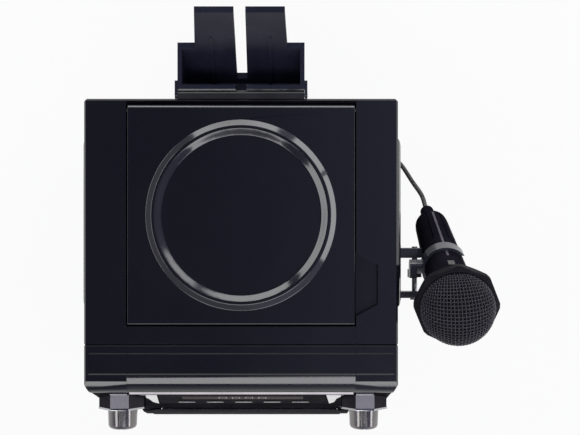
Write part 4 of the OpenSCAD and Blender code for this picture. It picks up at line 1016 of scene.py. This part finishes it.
BASE_SCREW = (0.0028, 0.0018, 0.0013, 0.014)
SHELL_SCREW = (0.0028, 0.0020, 0.0013, 0.025)
PANEL_SCREW = (0.0025, 0.0016, 0.0013, 0.007)
BRACKET_SCREW = (0.0025, 0.0016, 0.0013, 0.0046)
DECK_SCREW = (0.0050, 0.0018, 0.0010, 0.008)
SPEAKER_SCREW = (0.0028, 0.0016, 0.0013, 0.005)
SPEAKER_SCREWS_R = 0.068  # circle of the four screws round the loudspeaker


def screw_places():
    """Every screw: matrix with z from head to tip and origin on top of the head, and its sizes."""
    up, forward, backward = Matrix.Identity(4), turned(90), turned(-90)
    out = []

    def add(x, y, z, turn, sizes):
        out.append((Matrix.Translation(at(x, y, z)) @ turn, sizes))

    for side in (-1, 1):
        add(side * (SIDE_X - 0.009), HALF_DEPTH - 0.007, 0.0042, up, BASE_SCREW)
        add(side * (SIDE_X - 0.014), FRONT_Y + 0.014, 0.0042, up, BASE_SCREW)
        for z in (0.066, 0.240):
            add(side * (SIDE_X - 0.0072), -0.0549, z, forward, SHELL_SCREW)
        for z in (0.0425, 0.0975):
            add(side * 0.0725, HALF_DEPTH + 0.0016, z, forward, PANEL_SCREW)
        add(side * 0.030, HALF_DEPTH - 0.0041, 0.2844, backward, BRACKET_SCREW)
        for y in (-0.051, 0.036):
            add(side * 0.037, y, 0.2597, up, DECK_SCREW)
    for k in range(4):
        turn = math.radians(45 + 90 * k)
        x, z = SPEAKER_SCREWS_R * math.cos(turn), SPEAKER_SCREWS_R * math.sin(turn)
        add(x, FRONT_Y + 0.0091, GRILLE_Z + z, forward, SPEAKER_SCREW)
    return out


def screw(bm, place, head_r, head_h, shank_r, shank_l):
    """Pan-head screw with a cross recess."""
    steps, rings = 24, (1.0, 0.93, 0.74, 0.55, 0.42, 0.28, 0.14)
    levels = []
    for share in rings:
        ring = []
        for k in range(steps):
            angle = 2 * math.pi * k / steps
            x, y = head_r * share * math.cos(angle), head_r * share * math.sin(angle)
            depth = head_h * 0.35 * share ** 4
            if share < 0.6 and min(abs(x), abs(y)) < head_r * 0.13:
                depth = head_h * 0.6
            ring.append(bm.verts.new(place @ Vector((x, y, depth))))
        levels.append(ring)
    for radius, height in ((head_r, head_h), (shank_r, head_h), (shank_r, head_h + shank_l - shank_r)):
        levels.insert(0, circle(bm, radius, height, steps, place))
    skin(bm, levels, inward=True)
    for ring, height in ((levels[0], head_h + shank_l), (levels[-1], head_h * 0.6)):
        tip = bm.verts.new(place @ Vector((0, 0, height)))
        for k in range(steps):
            bm.faces.new([ring[k], ring[(k + 1) % steps], tip])


class ScrewsOperator(bpy.types.Operator):
    """Makes every screw with a cross recess in its head"""

    bl_idname = "karaoke.screws"
    bl_label = "Screws"

    def execute(self, context):
        bm = bmesh.new()
        for place, sizes in screw_places():
            screw(bm, place, *sizes)
        bmesh.ops.recalc_face_normals(bm, faces=bm.faces)
        new_piece("cross_screws", bm, ["steel"], "cabinet", ["case_screws"], smooth=False)
        return {"FINISHED"}


# Microphone


def woven_head(bm, wire_pitch, wire_d, place):
    """Two sets of wires woven over and under each other on the round head."""
    reach = HEAD_R * math.pi / 2 * 1.02
    count = int(reach / wire_pitch)
    lift = wire_d * 0.42
    wire_r = wire_d / 2
    shell_r = HEAD_R - wire_r - lift

    def on_head(u, v, out):
        r = math.hypot(u, v)
        theta = r / HEAD_R
        if r < 1e-9:
            return Vector((0, 0, shell_r + out))
        ring = (shell_r + out) * math.sin(theta)
        return Vector((ring * u / r, ring * v / r, (shell_r + out) * math.cos(theta)))

    for family in (0, 1):
        for row in range(-count, count + 1):
            across = row * wire_pitch
            if abs(across) >= reach:
                continue
            half = math.sqrt(reach ** 2 - across ** 2)
            if half < wire_pitch:
                continue
            steps = max(4, int(2 * half / (wire_pitch / 2)))
            points = []
            for k in range(steps + 1):
                along = -half + 2 * half * k / steps
                phase = math.cos(math.pi * along / wire_pitch) * (1 if row % 2 == 0 else -1)
                out = lift * phase * (1 if family == 0 else -1)
                u, v = (along, across) if family == 0 else (across, along)
                points.append(place @ (Vector((0, 0, HEAD_L)) + on_head(u, v, out)))
            wire(bm, points, wire_r)


def wire(bm, points, radius):
    """Thin five-sided wire, open at its ends."""
    side = (points[1] - points[0]).normalized().orthogonal().normalized()
    skin(bm, rings_along(bm, points, radius, 5, side))


class MicrophoneOperator(bpy.types.Operator):
    """Makes the woven head of the microphone and finishes its handle, ring and slider"""

    bl_idname = "karaoke.microphone"
    bl_label = "Microphone"

    def execute(self, context):
        looks = context.scene.karaoke_grille
        place = mic_frame() @ turned(4, "Z")
        bm = bmesh.new()
        woven_head(bm, looks.wire_pitch, looks.wire_d, place)
        new_piece("woven_head", bm, ["mesh_wire"], "microphone", ["mic_grille"])
        bm = bmesh.new()
        profile = [(0.0205, RING_L + 0.002), (0.0240, RING_L + 0.002), (0.0240, HEAD_L)]
        profile += [(FOAM_R * math.cos(a), HEAD_L + FOAM_R * math.sin(a))
                    for a in (k * math.pi / 2 / 14 for k in range(1, 14))]
        profile += [(0, HEAD_L + FOAM_R)]
        lathe(bm, profile, 64, place)
        bmesh.ops.recalc_face_normals(bm, faces=bm.faces)
        new_piece("head_foam", bm, ["foam"], "microphone")
        dress_all(
            mic_handle="mic_body", mic_ring="ring_rubber", mic_capsule="steel", mic_switch="satin_black",
        )
        round_edges("mic_handle", 0.0003)
        self.stripe()
        return {"FINISHED"}

    def stripe(self):
        """Pale strip between the two grooves, from the shoulder to the slider; its pale colour is a
        painted highlight, standing in for the sheen along the handle.
        """
        bm = bmesh.new()
        place = mic_frame()
        start, steps = SHOULDER_L + 0.008, 12
        rows = []
        for k in range(steps + 1):
            along = start + (HIGHLIGHT_STRIPE_END - start) * k / steps
            row = []
            for out in (-0.0001, 0.00004):
                radius = GRIP_R + TAPER * along + out
                for x in (-HIGHLIGHT_STRIPE_W / 2, 0.0, HIGHLIGHT_STRIPE_W / 2):
                    row.append(bm.verts.new(place @ Vector((x, math.sqrt(radius ** 2 - x * x), along))))
            rows.append([row[i] for i in (0, 3, 4, 5, 2, 1)])
        skin(bm, rows, inward=True)
        bm.faces.new(rows[0])
        bm.faces.new(list(reversed(rows[-1])))
        bmesh.ops.recalc_face_normals(bm, faces=bm.faces)
        # the strip's pale finish is a painted highlight, not a part of the handle
        new_piece("handle_painted_highlight_stripe", bm, ["mic_stripe"], "microphone", smooth=False)


# Studio


def softbox(name, turn, height, wide, tall, radiance):
    """Rectangular lamp in that direction from the top of the cabinet, facing it."""
    turn, height = math.radians(turn), math.radians(height)
    level = math.cos(height)
    away = Vector((level * math.cos(turn), level * math.sin(turn), math.sin(height)))
    lamp = bpy.data.lights.new(name, "AREA")
    lamp.shape = "RECTANGLE"
    lamp.size, lamp.size_y = wide, tall
    lamp.energy = radiance * math.pi * wide * tall
    holder = add_object(name, lamp)
    holder.location = at(0, 0, TOP_Z) + away * LAMP_DISTANCE
    holder.rotation_euler = away.to_track_quat("Z", "Y").to_euler()


def seen_directly(nodes, links):
    """1 for rays from the camera, for mirror rays and for rays through glass."""
    path = nodes.new("ShaderNodeLightPath")
    total = path.outputs["Is Camera Ray"]
    for name in ("Is Glossy Ray", "Is Transmission Ray"):
        most = nodes.new("ShaderNodeMath")
        most.operation = "MAXIMUM"
        links.new(total, most.inputs[0])
        links.new(path.outputs[name], most.inputs[1])
        total = most.outputs[0]
    return total


class StudioOperator(bpy.types.Operator):
    """Sets up the floor, the room, the softboxes and the camera above the machine"""

    bl_idname = "karaoke.studio"
    bl_label = "Studio and camera"

    # direction as degrees from +x and above the horizon, width, height, share of the brightness
    softboxes = (
        ("softbox_back", 96, 33, 1.44, 0.62, 1.0),
        ("softbox_corner", 44, 33, 0.70, 0.62, 1.0),
        ("softbox_right", -1, 26, 1.50, 0.36, 1.0),
        ("softbox_left", 175, 45, 1.80, 0.50, 0.9),
        ("softbox_front", 270, 56, 1.50, 0.68, 1.0),
    )

    def execute(self, context):
        looks = context.scene.karaoke_studio
        self.camera(looks)
        self.floor()
        self.room(looks)
        for name, turn, height, wide, tall, share in self.softboxes:
            softbox(name, turn, height, wide, tall, looks.lamp * share)
        context.scene.view_settings.view_transform = "Standard"
        return {"FINISHED"}

    def camera(self, looks):
        """Straight above, where the picture was taken from."""
        sight = bpy.data.cameras.new("camera")
        sight.sensor_width = 36
        sight.lens = sight.sensor_width * FOCAL_LENGTH / PICTURE_W
        sight.clip_end = 20
        holder = add_object("camera", sight)
        holder.location = at(CAMERA_X, CAMERA_Y, TOP_Z + looks.camera_height)
        bpy.context.scene.camera = holder

    def floor(self):
        """Pale paper that looks white to the camera and in mirrors."""
        bm = bmesh.new()
        bmesh.ops.create_grid(bm, x_segments=8, y_segments=8, size=4)
        floor = mesh_object("floor", bm)
        floor.location = (0, 0, -0.0002)
        mat, shader = surface("floor_paper", (0.82, 0.82, 0.82), 0.9)
        nodes, links = mat.node_tree.nodes, mat.node_tree.links
        glow = nodes.new("ShaderNodeEmission")
        mix = nodes.new("ShaderNodeMixShader")
        seen = nodes.new("ShaderNodeMath")
        seen.operation = "MULTIPLY"
        seen.inputs[1].default_value = 0.9  # the paper is nearly, not quite, white
        links.new(seen_directly(nodes, links), seen.inputs[0])
        links.new(seen.outputs[0], mix.inputs["Fac"])
        links.new(shader.outputs[0], mix.inputs[1])
        links.new(glow.outputs[0], mix.inputs[2])
        links.new(mix.outputs[0], nodes["Material Output"].inputs["Surface"])
        floor.data.materials.append(mat)

    def room(self, looks):
        """Dim bluish room overhead that grows white toward the horizon, paler on the right."""
        world = bpy.data.worlds.new("room")
        bpy.context.scene.world = world
        world.use_nodes = True
        nodes, links = world.node_tree.nodes, world.node_tree.links
        back = nodes["Background"]
        place = nodes.new("ShaderNodeTexCoord")
        parts = nodes.new("ShaderNodeSeparateXYZ")
        links.new(place.outputs["Generated"], parts.inputs[0])
        right = between(world, parts.outputs["X"], 0, looks.panel, -0.12, 0.2)
        right.node.interpolation_type = "SMOOTHSTEP"
        total = nodes.new("ShaderNodeMath")
        links.new(between(world, parts.outputs["Z"], 0.8, looks.room, 0, 0.7), total.inputs[0])
        links.new(right, total.inputs[1])
        links.new(total.outputs[0], back.inputs["Strength"])
        height = between(world, parts.outputs["Z"], 0, 1, 0.2, 0.6)
        links.new(blend_colours(world, height, (1, 1, 1), (0.84, 0.87, 1.22)), back.inputs["Color"])


OPERATORS = (
    StudioOperator, CordOperator, ShellOperator, DeckOperator, ControlsOperator, SpeakerOperator,
    CradleOperator, HolderOperator, MicrophoneOperator, BackPanelOperator, ScrewsOperator,
)
SETTINGS = {
    "karaoke_shell": ShellLooks,
    "karaoke_plastic": PlasticLooks,
    "karaoke_grille": GrilleLooks,
    "karaoke_cord": CordLooks,
    "karaoke_studio": StudioLooks,
}


class KaraokePanel(bpy.types.Panel):
    """Lists the steps and settings of the karaoke machine's looks"""

    bl_idname = "VIEW3D_PT_karaoke"
    bl_label = "Karaoke Machine"
    bl_space_type = "VIEW_3D"
    bl_region_type = "UI"
    bl_category = "Karaoke"

    def draw(self, context):
        for name, group in SETTINGS.items():
            box = self.layout.box()
            for setting in group.__annotations__:
                box.prop(getattr(context.scene, name), setting)
        for operator in OPERATORS:
            self.layout.operator(operator.bl_idname)


def register():
    for name, group in SETTINGS.items():
        bpy.utils.register_class(group)
        setattr(bpy.types.Scene, name, bpy.props.PointerProperty(type=group))
    for cls in (*OPERATORS, KaraokePanel):
        bpy.utils.register_class(cls)


def unregister():
    for cls in reversed((*OPERATORS, KaraokePanel)):
        bpy.utils.unregister_class(cls)
    for name, group in SETTINGS.items():
        delattr(bpy.types.Scene, name)
        bpy.utils.unregister_class(group)


def main():
    register()
    for operator in OPERATORS:
        family, name = operator.bl_idname.split(".")
        getattr(getattr(bpy.ops, family), name)()


if __name__ == "__main__":
    main()
